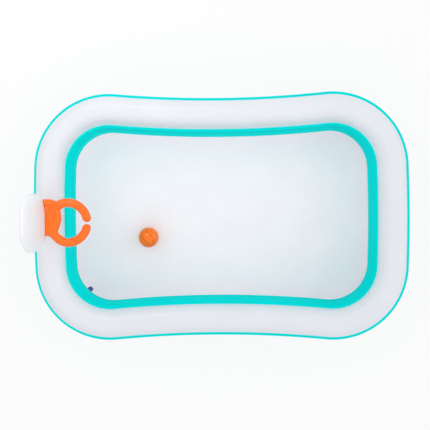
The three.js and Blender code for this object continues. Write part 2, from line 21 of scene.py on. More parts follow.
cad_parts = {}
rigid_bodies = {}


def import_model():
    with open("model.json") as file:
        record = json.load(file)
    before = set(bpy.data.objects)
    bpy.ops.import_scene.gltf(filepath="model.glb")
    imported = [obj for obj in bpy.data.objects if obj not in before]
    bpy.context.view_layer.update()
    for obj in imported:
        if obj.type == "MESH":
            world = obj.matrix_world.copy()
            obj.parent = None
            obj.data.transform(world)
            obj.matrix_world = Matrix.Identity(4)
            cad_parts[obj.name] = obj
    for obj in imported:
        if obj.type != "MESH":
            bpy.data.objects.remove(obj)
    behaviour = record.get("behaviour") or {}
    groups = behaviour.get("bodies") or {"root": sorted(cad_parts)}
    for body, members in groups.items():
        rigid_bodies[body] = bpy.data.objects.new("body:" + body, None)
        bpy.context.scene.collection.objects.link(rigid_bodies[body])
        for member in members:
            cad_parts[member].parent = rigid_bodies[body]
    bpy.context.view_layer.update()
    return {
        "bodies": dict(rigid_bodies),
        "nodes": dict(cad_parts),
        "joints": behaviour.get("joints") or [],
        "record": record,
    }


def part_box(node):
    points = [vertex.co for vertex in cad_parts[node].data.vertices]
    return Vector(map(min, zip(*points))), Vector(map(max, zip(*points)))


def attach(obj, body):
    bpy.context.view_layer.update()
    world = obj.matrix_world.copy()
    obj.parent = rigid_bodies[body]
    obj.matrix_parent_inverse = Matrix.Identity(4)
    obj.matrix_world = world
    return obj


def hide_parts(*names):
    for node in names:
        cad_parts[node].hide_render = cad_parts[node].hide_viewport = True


LOG = logging.getLogger("pool")

Array = np.ndarray
Line = tuple[tuple[float, ...], ...]
Piece = bpy.types.Object
Socket = bpy.types.NodeSocket

MM = 0.001
SHEET = 0.4 * MM
SEAT_GAP = 0.3 * MM
CLOSE_REACH = 30 * MM  # how far from a valve the hoop and the ball have their own curve
TURN = 2 * math.pi


class Tone(Enum):
    """Colours of the sheets and mouldings, in sRGB shares."""

    WHITE = (0.887, 0.901, 0.925)
    # painted light: the floor sheet and the backboard are the rings' white vinyl, given lighter
    # copies of its colour
    FLOOR = (0.965, 0.952, 0.971)
    BOARD = (0.960, 0.955, 0.967)
    TEAL = (0.0, 0.878, 0.868)
    # a lighter teal painted on the weld line, as a highlight along its crease
    TEAL_WELD = (0.3, 0.9, 0.9)
    ORANGE = (1.0, 0.45, 0.07)
    BALL = (1.0, 0.48, 0.08)
    GROOVE = (0.62, 0.20, 0.03)
    CLEAR = (0.88, 0.91, 0.94)
    BLUE = (0.13, 0.27, 0.53)
    VIOLET = (0.33, 0.37, 0.65)
    GROUND = (0.985, 0.985, 0.985)

    def linear(self) -> tuple[float, float, float, float]:
        """Returns the colour as linear light with a full alpha."""
        return (*(self._channel(value) for value in self.value), 1.0)

    def shaded(self, drift: float) -> tuple[float, float, float, float]:
        """Returns the linear colour with a share of its light taken off."""
        return (*(value * (1 - drift) for value in self.linear()[:3]), 1.0)

    @staticmethod
    def _channel(value: float) -> float:
        """Turns one sRGB share into linear light, by the sRGB curve.

        Args:
            value: The share.

        Returns:
            The share of linear light.
        """
        knee, slope, offset, power = 0.04045, 12.92, 0.055, 2.4
        if value <= knee:
            return value / slope
        return ((value + offset) / (1 + offset)) ** power


# Curves


def smooth_step(value: Array, low: float, high: float) -> Array:
    """Returns the cubic 3t^2 - 2t^3, which rises from 0 at low to 1 at high."""
    t = np.clip((value - low) / (high - low), 0.0, 1.0)
    return t * t * (3 - 2 * t)


def fade(distance: Array, width: float, power: float = 2.0) -> Array:
    """Returns exp(-(distance / width)^power), which falls from 1 at no distance."""
    return np.exp(-((distance / width) ** power))


def ripples(phase: Array, waves: tuple[int, ...], seed: int) -> Array:
    """Sum of sine waves that fit a whole number of times round a closed line.

    Args:
        phase: Place on the line, from 0 to 1.
        waves: How many times each wave fits round it.
        seed: Seed of the waves' weights and starts.

    Returns:
        The sum at each place, from -1 to 1.
    """
    random = np.random.default_rng(seed)
    weights = random.uniform(0.5, 1.0, len(waves))
    starts = random.uniform(0.0, TURN, len(waves))
    angles = TURN * np.multiply.outer(phase, np.array(waves)) + starts
    return (np.sin(angles) * weights).sum(-1) / weights.sum()


def folds(phase: Array, waves: tuple[int, ...], seed: int) -> Array:
    """Returns ripples that are moved to the range from 0 to 1."""
    return 0.5 + 0.5 * ripples(phase, waves, seed)


def swell(x: Array, y: Array, seed: int, count: int = 9) -> Array:
    """Slow uneven waves over a plane, as the sum of sines in many directions.

    Args:
        x: First coordinate in metres.
        y: Second coordinate in metres.
        seed: Seed of the waves' directions, lengths and starts.
        count: How many waves there are.

    Returns:
        The height at each point, from about -1 to 1.
    """
    shortest, longest = 0.16, 0.55
    random = np.random.default_rng(seed)
    heading = random.uniform(0, TURN, count)
    pitch = TURN / random.uniform(shortest, longest, count)
    start = random.uniform(0, TURN, count)
    travel = np.multiply.outer(x, np.cos(heading)) + np.multiply.outer(y, np.sin(heading))
    return np.sin(travel * pitch + start).sum(-1) / math.sqrt(count * 2)


def even_turn(count: int) -> Array:
    """Returns even angles round a full turn, from 0."""
    return np.linspace(0, TURN, count, endpoint=False)


def squircle(count: int, power: float) -> tuple[Array, Array]:
    """Returns x and y round a unit superellipse: signed powers of cosine and sine."""
    waves = np.cos(even_turn(count)), np.sin(even_turn(count))
    return tuple(np.sign(wave) * np.abs(wave) ** power for wave in waves)


def unit(vectors: Array) -> Array:
    """Returns vectors at a length of 1."""
    return vectors / np.linalg.norm(vectors, axis=-1, keepdims=True)


def left_of(line: Array) -> Array:
    """Returns the unit normal on the left of each point of a plane line, from its tangent."""
    tangent = unit(np.gradient(line, axis=0))
    return np.stack([-tangent[:, 1], tangent[:, 0]], 1)


def run_along(line: Array) -> Array:
    """Returns the distance along a line of points, from 0 at its first."""
    return np.concatenate([[0.0], np.cumsum(np.linalg.norm(np.diff(line, axis=0), axis=1))])


def sample(line: Array, run: Array, places: Array) -> Array:
    """Returns the rows of a line at other distances along it, between its own rows."""
    return np.stack([np.interp(places, run, column) for column in line.T], 1)


def densify(line: Array, pitch: float = 1.0 * MM) -> Array:
    """Returns points at an even pitch along a line of points."""
    run = run_along(line)
    return sample(line, run, np.arange(0.0, run[-1], pitch))


def gap_to(x: Array, y: Array, line: Array) -> Array:
    """Returns the distance of grid points from a line in the same plane."""
    points = densify(line)
    return np.hypot(x[..., None] - points[:, 0], y[..., None] - points[:, 1]).min(-1)


# Meshes


@dataclass
class Surface:
    """Points of a surface on a grid, with what its mesh needs."""

    points: Array  # rows by columns by 3
    core: Array  # points inside the form, which the faces turn away from
    closed_rows: bool = False  # whether the last row joins the first
    closed_columns: bool = False  # whether the last column joins the first
    pole_first: bool = False  # whether the first row is one point
    pole_last: bool = False  # whether the last row is one point
    along: Array | None = None  # distance along the rows, one more than the rows where they close
    # distance along the columns, one more than the columns where they close
    across: Array | None = None
    weld: Array | float = 0.0  # share of weld at each point, for the material

    def corners(self) -> tuple[Array, Array]:
        """Lists the corners of the quads between the points.

        A normal is the cross product of a quad's diagonals. If the sum of normal times
        distance from the core is below 0, every quad is turned over.

        Returns:
            The row and column of each quad's four corners, unwrapped.
        """
        rows, columns = self.points.shape[:2]
        i, j = np.meshgrid(
            np.arange(rows if self.closed_rows else rows - 1),
            np.arange(columns if self.closed_columns else columns - 1),
            indexing="ij",
        )
        i, j = i.ravel(), j.ravel()
        i, j = np.stack([i, i + 1, i + 1, i], 1), np.stack([j, j, j + 1, j + 1], 1)
        corner = self.points[i % rows, j % columns]
        normal = np.cross(corner[:, 2] - corner[:, 0], corner[:, 3] - corner[:, 1])
        core = np.broadcast_to(self.core, self.points.shape)[i % rows, j % columns]
        outward = float(((corner.mean(1) - core.mean(1)) * normal).sum()) > 0
        return (i, j) if outward else (i[:, ::-1], j[:, ::-1])

    def numbers(self) -> Array:
        """Numbers the points.

        Returns:
            Each point's vertex number, which is one for the whole row at a pole.
        """
        rows, columns = self.points.shape[:2]
        number = np.arange(rows * columns).reshape(rows, columns)
        for row, pole in ((0, self.pole_first), (-1, self.pole_last)):
            if pole:
                number[row] = number[row, 0]
        return number

    def sheet_places(self, i: Array, j: Array) -> Array:
        """Lays corners out on the flat sheet, a millimetre a step by default.

        Args:
            i: Their rows.
            j: Their columns.

        Returns:
            Their places in metres.
        """
        rows, columns = self.points.shape[:2]
        along = np.arange(rows + 1) * MM if self.along is None else self.along
        across = np.arange(columns + 1) * MM if self.across is None else self.across
        return np.stack([along[i], across[j]], 1)


def make_piece(name: str, surfaces: list[Surface]) -> Piece:
    """Makes one mesh object of one or more surfaces.

    Quads become loops of vertex numbers, and a quad at a pole drops its doubled corner.

    Args:
        name: The piece's name.
        surfaces: The grids that it is made of.

    Returns:
        The new object, linked to the scene.
    """
    vertices, loops, totals, uvs, welds = [], [], [], [], []
    start = 0
    for surface in surfaces:
        rows, columns = surface.points.shape[:2]
        i, j = surface.corners()
        quads = surface.numbers()[i % rows, j % columns]
        kept = quads != np.roll(quads, -1, axis=1)
        loops.append(quads[kept] + start)
        totals.append(kept.sum(1))
        uvs.append(surface.sheet_places(i[kept], j[kept]))
        vertices.append(surface.points.reshape(-1, 3))
        welds.append(np.broadcast_to(surface.weld, (rows, columns)).ravel())
        start += rows * columns
    loop, total = np.concatenate(loops), np.concatenate(totals)
    used, compact = np.unique(loop, return_inverse=True)
    mesh = bpy.data.meshes.new(name)
    mesh.vertices.add(len(used))
    mesh.vertices.foreach_set("co", np.concatenate(vertices)[used].astype(np.float32).ravel())
    mesh.loops.add(len(loop))
    mesh.loops.foreach_set("vertex_index", compact.astype(np.int32))
    mesh.polygons.add(len(total))
    mesh.polygons.foreach_set("loop_start", (np.cumsum(total) - total).astype(np.int32))
    mesh.polygons.foreach_set("use_smooth", np.ones(len(total), bool))
    mesh.update(calc_edges=True)
    layer = mesh.uv_layers.new(name="sheet")
    layer.data.foreach_set("uv", np.concatenate(uvs).astype(np.float32).ravel())
    mark = mesh.attributes.new("weld", "FLOAT", "POINT")
    mark.data.foreach_set("value", np.concatenate(welds)[used].astype(np.float32))
    mesh.validate()
    piece = bpy.data.objects.new(name, mesh)
    bpy.context.scene.collection.objects.link(piece)
    return piece


def merge_doubles(piece: Piece) -> None:
    """Joins a mesh's vertices that lie on each other and drops faces without area.

    Args:
        piece: The mesh's object.
    """
    mesh = bmesh.new()
    mesh.from_mesh(piece.data)
    bmesh.ops.remove_doubles(mesh, verts=mesh.verts, dist=0.01 * MM)
    bmesh.ops.dissolve_degenerate(mesh, edges=mesh.edges, dist=0.001 * MM)
    mesh.to_mesh(piece.data)
    mesh.free()


def make_sheet(name: str, surface: Surface, thickness: float = SHEET, merge: bool = False) -> Piece:
    """Makes a sheet of one surface, with its thickness inward from its outside.

    Args:
        name: The piece's name.
        surface: The sheet's outside.
        thickness: Thickness of the sheet.
        merge: Whether points that lie on each other are joined first.

    Returns:
        The new object, linked to the scene.
    """
    piece = make_piece(name, [surface])
    if merge:
        merge_doubles(piece)
    wall = piece.modifiers.new("sheet", "SOLIDIFY")
    wall.thickness = thickness
    wall.offset = -1.0
    wall.use_even_offset = False
    return piece


# Materials


class NodeGraph:
    """Adds and links the nodes of one tree round its surface shader."""

    def __init__(
        self,
        owner: bpy.types.Material | bpy.types.World,
        output: str = "ShaderNodeOutputMaterial",
        shader: str = "ShaderNodeBsdfPrincipled",
    ) -> None:
        """Makes the tree's output and shader.

        Args:
            owner: What the tree belongs to.
            output: The type of its output node.
            shader: The type of its shader.
        """
        owner.use_nodes = True
        self.tree = owner.node_tree
        self.tree.nodes.clear()
        self.output = self.tree.nodes.new(output)
        self.shader = self.tree.nodes.new(shader)
        self.tree.links.new(self.shader.outputs[0], self.output.inputs["Surface"])

    def feed(self, node: bpy.types.Node, inputs: dict) -> None:
        """Links or sets a node's inputs.

        Args:
            node: The node.
            inputs: Sockets or values, by the input's name or number.
        """
        for key, value in inputs.items():
            if isinstance(value, Socket):
                self.tree.links.new(value, node.inputs[key])
            else:
                node.inputs[key].default_value = value

    def add(self, kind: str, inputs: dict | None = None, **settings: object) -> bpy.types.Node:
        """Adds a node.

        Args:
            kind: The node's type.
            inputs: Sockets or values for its inputs, by name or number.
            **settings: The node's own settings.

        Returns:
            The new node.
        """
        node = self.tree.nodes.new(kind)
        for key, value in settings.items():
            setattr(node, key, value)
        self.feed(node, inputs or {})
        return node

    def noise(self, scale: float, detail: float = 2.0) -> Socket:
        """Adds noise of about 0.5 on the piece's own coordinates.

        Args:
            scale: Waves per metre.
            detail: How many finer layers it has.

        Returns:
            The noise's socket.
        """
        place = self.add("ShaderNodeTexCoord").outputs["Object"]
        inputs = {"Vector": place, "Scale": scale, "Detail": detail}
        return self.add("ShaderNodeTexNoise", inputs).outputs[0]

    def remap(self, value: Socket, low: float, high: float) -> Socket:
        """Returns a value of 0 to 1 on the range from low to high."""
        inputs = {"Value": value, "To Min": low, "To Max": high}
        return self.add("ShaderNodeMapRange", inputs).outputs["Result"]

    def maths(self, operation: str, first: Socket, second: Socket | float) -> Socket:
        """Returns the result of one sum on two values."""
        return self.add("ShaderNodeMath", {0: first, 1: second}, operation=operation).outputs[0]

    def mix(self, share: Socket, first: Socket | tuple, second: Socket | tuple) -> Socket:
        """Returns two colours mixed by the share of the second."""
        colours = {0: share, 6: first, 7: second}
        return self.add("ShaderNodeMix", colours, data_type="RGBA").outputs[2]

    def shaded(self, patches: Socket, tone: Tone, drift: float) -> Socket:
        """Returns a tone that loses a share of its light in patches."""
        return self.mix(patches, tone.linear(), tone.shaded(drift))

    def bump(self, height: Socket, depth: float, under: Socket | None = None) -> Socket:
        """Adds a bump whose full height is a real depth in metres.

        Args:
            height: Height from 0 to 1.
            depth: Depth of the bump in metres.
            under: The normal of the bump beneath, if there is one.

        Returns:
            The normal's socket.
        """
        inputs = {"Height": height, "Distance": depth}
        if under is not None:
            inputs["Normal"] = under
        return self.add("ShaderNodeBump", inputs).outputs["Normal"]

    def mottled(self, middle: float, spread: float, scale: float, detail: float) -> Socket:
        """Returns noise that spreads round a middle value, in waves per metre."""
        return self.remap(self.noise(scale, detail), middle - spread, middle + spread)


@dataclass(frozen=True)
class Vinyl:
    """Soft vinyl sheet: a faint grain, slow ripples, ribbed heat welds and a second colour on the
    weld line, which is a painted highlight on the teal skins.
    """

    name: str
    tone: Tone
    highlight_and_groove_tone: Tone  # colour on the weld line: a painted highlight on the teal skins, the printed groove on the ball
    roughness: float
    specular: float  # level of its mirror reflection
    drift: float = 0.035  # how far the colour darkens in slow patches
    ripple: float = 1.2 * MM  # depth of the slow ripples in metres
    grain: float = 0.03 * MM  # depth of the grain in metres
    rib: float = 0.12 * MM  # depth of the ribs that a welding bar presses across the seam
    rib_pitch: float = 2.4 * MM  # distance between the ribs
    highlight_and_groove_share: float = 0.55  # how far the colour goes over to the one on the weld line
    patch_scale: float = 5.0  # waves per metre of the slow patches
    ripple_scale: float = 7.0  # waves per metre of the ripples
    grain_scale: float = 1400.0  # waves per metre of the grain
    # spread, waves per metre and detail of the roughness
    mottle: tuple[float, float, float] = (0.07, 38.0, 4.0)

    def material(self) -> bpy.types.Material:
        """Makes the material.

        Returns:
            The finished material.
        """
        material = bpy.data.materials.new(self.name)
        graph = NodeGraph(material)
        weld = graph.add("ShaderNodeAttribute", attribute_name="weld").outputs["Fac"]
        patches = graph.remap(graph.noise(self.patch_scale, 3.0), -0.5, 1.5)
        sheet = graph.shaded(patches, self.tone, self.drift)
        # On the weld line the colour goes over to a second one: a painted highlight on the teal
        # skins, the printed groove on the ball.
        welded = graph.maths("MULTIPLY", weld, self.highlight_and_groove_share)
        plane = graph.add("ShaderNodeUVMap", uv_map="sheet").outputs["UV"]
        waves = {"Vector": plane, "Scale": 1 / (self.rib_pitch * TURN), "Distortion": 0.0}
        ribs = graph.add("ShaderNodeTexWave", waves, bands_direction="X").outputs["Fac"]
        normal = graph.bump(graph.noise(self.ripple_scale), self.ripple)
        normal = graph.bump(graph.noise(self.grain_scale), self.grain, normal)
        inputs = {
            "Base Color": graph.mix(welded, sheet, self.highlight_and_groove_tone.linear()),
            "Roughness": graph.mottled(self.roughness, *self.mottle),
            "Specular IOR Level": self.specular,
            "Normal": graph.bump(graph.maths("MULTIPLY", ribs, weld), self.rib, normal),
        }
        graph.feed(graph.shader, inputs)
        return material


@dataclass(frozen=True)
class Moulding:
    """Soft moulded vinyl of the valves and the drain: smooth with a faint mottle."""

    name: str
    tone: Tone
    roughness: float = 0.34
    specular: float = 0.45
    drift: float = 0.05
    grain: float = 0.04 * MM
    patch_scale: float = 160.0
    grain_scale: float = 900.0
    mottle: tuple[float, float, float] = (0.05, 420.0, 3.0)

    def material(self) -> bpy.types.Material:
        """Makes the material.

        Returns:
            The finished material.
        """
        material = bpy.data.materials.new(self.name)
        graph = NodeGraph(material)
        inputs = {
            "Base Color": graph.shaded(graph.noise(self.patch_scale, 3.0), self.tone, self.drift),
            "Roughness": graph.mottled(self.roughness, *self.mottle),
            "Specular IOR Level": self.specular,
            "Normal": graph.bump(graph.noise(self.grain_scale), self.grain),
        }
        graph.feed(graph.shader, inputs)
        return material


@dataclass(frozen=True)
class Ground:
    """Matt white floor. Seen straight on it is mostly plain white, with a faint shadow."""

    name: str = "ground"
    tone: Tone = Tone.GROUND
    glow_share: float = 0.8

    def material(self) -> bpy.types.Material:
        """Makes the material.

        Returns:
            The finished material.
        """
        material = bpy.data.materials.new(self.name)
        graph = NodeGraph(material)
        base = self.tone.linear()
        graph.feed(graph.shader, {"Base Color": base, "Roughness": 1.0, "Specular IOR Level": 0.0})
        path = graph.add("ShaderNodeLightPath").outputs
        seen = graph.maths("MAXIMUM", path["Is Camera Ray"], path["Is Glossy Ray"])
        seen = graph.maths("MAXIMUM", seen, path["Is Transmission Ray"])
        glow = graph.add("ShaderNodeEmission", {"Color": base, "Strength": 1.0}).outputs[0]
        share = graph.maths("MULTIPLY", seen, self.glow_share)
        blend = graph.add("ShaderNodeMixShader", {0: share, 1: graph.shader.outputs[0], 2: glow})
        graph.feed(graph.output, {"Surface": blend.outputs[0]})
        return material


def make_finishes() -> dict[str, bpy.types.Material]:
    """Makes all the materials of the pool.

    Returns:
        The materials by name.
    """
    finishes = (
        Vinyl("white_vinyl", Tone.WHITE, Tone.WHITE, 0.4, 0.4),
        # the floor sheet and the backboard get lighter copies of the white vinyl: painted light
        Vinyl("floor_vinyl_sheet", Tone.FLOOR, Tone.FLOOR, 0.5, 0.3),
        Vinyl("board_vinyl", Tone.BOARD, Tone.BOARD, 0.4, 0.4),
        # its weld line is painted lighter, as a highlight along the crease
        Vinyl("teal_vinyl", Tone.TEAL, Tone.TEAL_WELD, 0.5, 0.03),
        Vinyl("hoop_vinyl", Tone.ORANGE, Tone.ORANGE, 0.24, 0.4),
        Vinyl("ball_vinyl", Tone.BALL, Tone.GROOVE, 0.24, 0.4),
        Moulding("valve_vinyl", Tone.CLEAR),
        Moulding("drain_flange_vinyl", Tone.BLUE),
        Moulding("drain_plug_vinyl", Tone.VIOLET),
    )
    return {finish.name: finish.material() for finish in finishes}


# Seats and turned forms


@dataclass(frozen=True)
class Seat:
    """Where a valve sits: a point on the sheet, the way out and the way of the strap."""

    centre: Array
    out: Array
    along: Array

    def place(self, local: Array) -> Array:
        """Returns points that are given on the valve's own axes in the world's frame."""
        axes = np.stack([self.along, np.cross(self.out, self.along), self.out])
        return self.centre + local @ axes

    def flatten(self, points: Array, inner: float = 17 * MM, outer: float = 46 * MM) -> Array:
        """Presses a curved sheet flat under the valve's base.

        Inside the inner radius a point's height goes to 0, and past the outer radius it
        stays. Only the side of the tube that the valve is on is near the plane.

        Args:
            points: Points of the sheet.
            inner: Radius of the flat part.
            outer: Radius at which the sheet has its own curve.

        Returns:
            The moved points.
        """
        away = points - self.centre
        height = away @ self.out
        distance = np.linalg.norm(away - np.multiply.outer(height, self.out), axis=-1)
        share = (1 - smooth_step(distance, inner, outer)) * (np.abs(height) < outer / 2)
        return points - np.multiply.outer(height * share, self.out)


def read_points(node: str, frame: dict) -> Array:
    """Reads the vertices of a CAD node.

    Args:
        node: The node's name.
        frame: The loaded frame.

    Returns:
        An array of points.
    """
    mesh = frame["nodes"][node].data
    points = np.zeros(len(mesh.vertices) * 3)
    mesh.vertices.foreach_get("co", points)
    return points.reshape(-1, 3)


def box_corners(node: str) -> tuple[Array, ...]:
    """Returns the lowest and the highest corner of a CAD node's box."""
    return tuple(np.array(corner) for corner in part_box(node))


def rounded_profile(corners: Line, radius: float, steps: int = 3) -> Array:
    """Closed outline with its corners rounded by arcs.

    At each corner a quadratic curve leaves one side and meets the next, both at the
    radius from the corner, or at 45% of a shorter side.

    Args:
        corners: The corners as (distance from the axis, height).
        radius: How far from the corner the rounding starts.
        steps: Steps of each rounding.

    Returns:
        The outline's points.
    """
    most = 0.45
    here = np.array(corners, float)
    ends = []
    for shift in (1, -1):
        side = np.roll(here, shift, 0) - here
        length = np.linalg.norm(side, axis=1, keepdims=True)
        ends.append((here + side / length * np.minimum(radius, most * length))[:, None])
    t = np.linspace(0, 1, steps + 1)[None, :, None]
    curve = (1 - t) ** 2 * ends[0] + 2 * t * (1 - t) * here[:, None] + t**2 * ends[1]
    return curve.reshape(-1, 2)


def rounded_box(inner: float, outer: float, foot: float, top: float, radius: float) -> Array:
    """Returns a rounded rectangle between two distances and two heights."""
    return rounded_profile(((inner, foot), (outer, foot), (outer, top), (inner, top)), radius)


def open_rounding(corners: Line, radius: float) -> Array:
    """Rounds the corners of an outline whose two ends are on the axis.

    The outline is closed with its mirror image, rounded, and cut at its ends again.

    Args:
        corners: The corners as (distance from the axis, height).
        radius: How far from the corner the rounding starts.

    Returns:
        The outline's points, from axis to axis.
    """
    here = np.array(corners, float)
    mirrored = np.concatenate([here, here[::-1][1:-1] * np.array([-1, 1])])
    closed = rounded_profile(mirrored, radius)
    steps = len(closed) // len(mirrored)
    return np.concatenate([here[:1], closed[steps : (len(here) - 1) * steps], here[-1:]])


def lathe(profile: Array, sides: int, seat: Seat, closed: bool = True) -> Surface:
    """Turns a profile round a seat's axis.

    A point (r, h) of the profile goes to (r cos a, r sin a, h) at each angle a.

    Args:
        profile: Outline as (radius, height).
        sides: Steps round the axis.
        seat: Where the axis is.
        closed: Whether the outline is closed, or starts and ends on the axis.

    Returns:
        The closed surface.
    """

    def turned(radius: Array, height: Array) -> Array:
        """Returns the profile's points at each angle."""
        angle = even_turn(sides)[:, None]
        return np.stack([radius * np.cos(angle), radius * np.sin(angle), height + 0 * angle], -1)

    middle = profile.mean(0)
    points = turned(*profile.T)
    if closed:
        core = seat.place(turned(*middle))
        return Surface(seat.place(points), core, closed_rows=True, closed_columns=True)
    core = seat.place(np.array([0.0, 0.0, middle[1]]))
    return capped(seat.place(points.swapaxes(0, 1)), core)


def capped(points: Array, core: Array) -> Surface:
    """Returns a surface of closed columns whose first and last rows are poles."""
    return Surface(points, core, closed_columns=True, pole_first=True, pole_last=True)


# Rings


@dataclass(frozen=True)
class Stations:
    """Stations round the rings' path, as arrays of one row each."""

    centre: Array
    normal: Array
    turn: Array
    travel: Array
    length: float

    def phase(self) -> Array:
        """Returns each station's place round the path, from 0 to 1."""
        return self.travel / self.length

    def wrapped_travel(self) -> Array:
        """Returns the stations' travel with the whole length at its end."""
        return np.append(self.travel, self.length)


@dataclass(frozen=True)
class RingPath:
    """Closed centre line of both rings: end arcs, corner arcs and hollow waist arcs.

    Each arc is tangent to the next, as on the welded sheets.
    """

    half_length: float = 1.141  # half the length, at the middle of the ends
    shoulder: float = 0.712  # half the width, where the corners are widest
    waist: float = 0.677  # half the width, at the middle of the sides
    corner_radius: float = 0.390  # radius of the corner arcs
    end_radius: float = 8.6  # radius of the end arcs
    steps: int = 400  # steps of each arc
    valve_reach: float = 0.055  # how far on each side of a valve the stations are close
    valve_pitch: float = 2.5 * MM  # distance between the close stations
    blur: int = 61  # how many stations the turn share is blurred over

    def quarter(self) -> Array:
        """Works out one quarter of the path, from the middle of an end to the waist.

        The corner arc touches the end arc from inside, so their centres are the
        difference of their radii apart. It touches the waist arc from outside, so
        theirs are the sum apart.

        Returns:
            Rows of x, y, normal x, normal y and turn share.
        """
        corner_y = self.shoulder - self.corner_radius
        end_x = self.half_length - self.end_radius
        corner_x = end_x + math.sqrt((self.end_radius - self.corner_radius) ** 2 - corner_y**2)
        rise = corner_x**2 + (self.waist - corner_y) ** 2 - self.corner_radius**2
        waist_radius = rise / (2 * (self.shoulder - self.waist))
        waist_y = self.waist + waist_radius
        end_turn = math.atan2(corner_y, corner_x - end_x)
        waist_turn = math.atan2(waist_y - corner_y, -corner_x)
        end = self.arc((end_x, 0.0), self.end_radius, 0.0, end_turn)
        corner = self.arc((corner_x, corner_y), self.corner_radius, end_turn, waist_turn, turn=1.0)
        angles = waist_turn + math.pi, 1.5 * math.pi
        waist = self.arc((0.0, waist_y), waist_radius, *angles, outward=-1.0)
        return np.concatenate([end, corner[1:], waist[1:]])

    def arc(
        self,
        centre: tuple[float, float],
        radius: float,
        start: float,
        end: float,
        outward: float = 1.0,
        turn: float = 0.0,
    ) -> Array:
        """Returns points of one arc as rows of x, y, normal x, normal y and turn share.

        Args:
            centre: The arc's centre.
            radius: Its radius.
            start: Its first angle.
            end: Its last angle.
            outward: 1 where the path's outside is away from the centre, else -1.
            turn: 1 on a corner, else 0.

        Returns:
            An array of steps + 1 rows.
        """
        angle = np.linspace(start, end, self.steps + 1)
        way = np.stack([np.cos(angle), np.sin(angle)], 1)
        place = np.array(centre) + radius * way
        return np.column_stack([place, outward * way, np.full_like(angle, turn)])

    def closed(self) -> Array:
        """Mirrors the quarter three times.

        Returns:
            The rows of the whole path, with the first one repeated at the end.
        """
        quarter = self.quarter()
        back = quarter[::-1]
        mirrors = ((quarter, 1, 1), (back, -1, 1), (quarter, -1, -1), (back, 1, -1))
        parts = [part * np.array([x, y, x, y, 1]) for part, x, y in mirrors]
        return np.concatenate([parts[0]] + [part[1:] for part in parts[1:]])

    def stations(self, count: int, near: list[Array]) -> Stations:
        """Spreads stations evenly round the path, and closer near some points.

        Args:
            count: How many even stations there are.
            near: Points that get closer stations, such as valves.

        Returns:
            The stations.
        """
        path = self.closed()
        travel = run_along(path[:, :2])
        length = float(travel[-1])
        places = np.linspace(0.0, length, count, endpoint=False)
        for point in near:
            middle = travel[np.argmin(np.linalg.norm(path[:, :2] - point[:2], axis=1))]
            extra = middle + np.arange(-self.valve_reach, self.valve_reach, self.valve_pitch)
            places = places[np.abs(places - middle) > self.valve_reach]
            places = np.sort(np.concatenate([places, extra % length]))
        rows = sample(path, travel, places)
        spread = fade(np.linspace(-2, 2, self.blur), 1.0)
        turn = np.convolve(np.tile(rows[:, 4], 3), spread / spread.sum(), "same")
        turn = turn[len(places) : 2 * len(places)]
        return Stations(rows[:, :2], unit(rows[:, 2:4]), turn, places, length)


@dataclass(frozen=True)
class HalfTube:
    """Section of one ring skin: a flange, a quarter ellipse, a flat band, and back."""

    half_width: float  # half the tube's width at its seam
    band: float  # half the width of the flat band at its top or bottom
    flange: float  # width of the weld flange
    arc_steps: int = 15  # steps of each quarter ellipse
    crowding: float = 1.15  # power that brings the steps closer to the seam
    # where the flange has its points, as shares of its width
    flange_rows: tuple[float, ...] = (1.0, 0.94, 0.5, 0.12)

    def outline(self, reach: float) -> Array:
        """Returns the outside of the section from its outer flange edge to its inner one.

        Args:
            reach: Height of the tube's half over its seam plane.

        Returns:
            Rows of offset, height and distance from the weld's root, which is negative
            on the flange.
        """
        edge = self.flange * np.array(self.flange_rows)
        flange = np.stack([self.half_width + edge, np.full_like(edge, SHEET), -edge], 1)
        turn = np.linspace(0, math.pi / 2, self.arc_steps + 1) ** self.crowding
        turn *= (math.pi / 2) / turn[-1]
        offset = self.band + (self.half_width - self.band) * np.cos(turn)
        arc = np.stack([offset, SHEET + (reach - SHEET) * np.sin(turn)], 1)
        run = run_along(arc)
        side = np.concatenate([flange, np.column_stack([arc, run])])
        steps = np.array([self.band / 2, self.band])
        middle = np.stack([self.band - steps, np.full(2, reach), run[-1] + steps], 1)
        mirror = np.array([-1, 1, 1])
        return np.concatenate([side, middle, middle[:1] * mirror, side[::-1] * mirror])


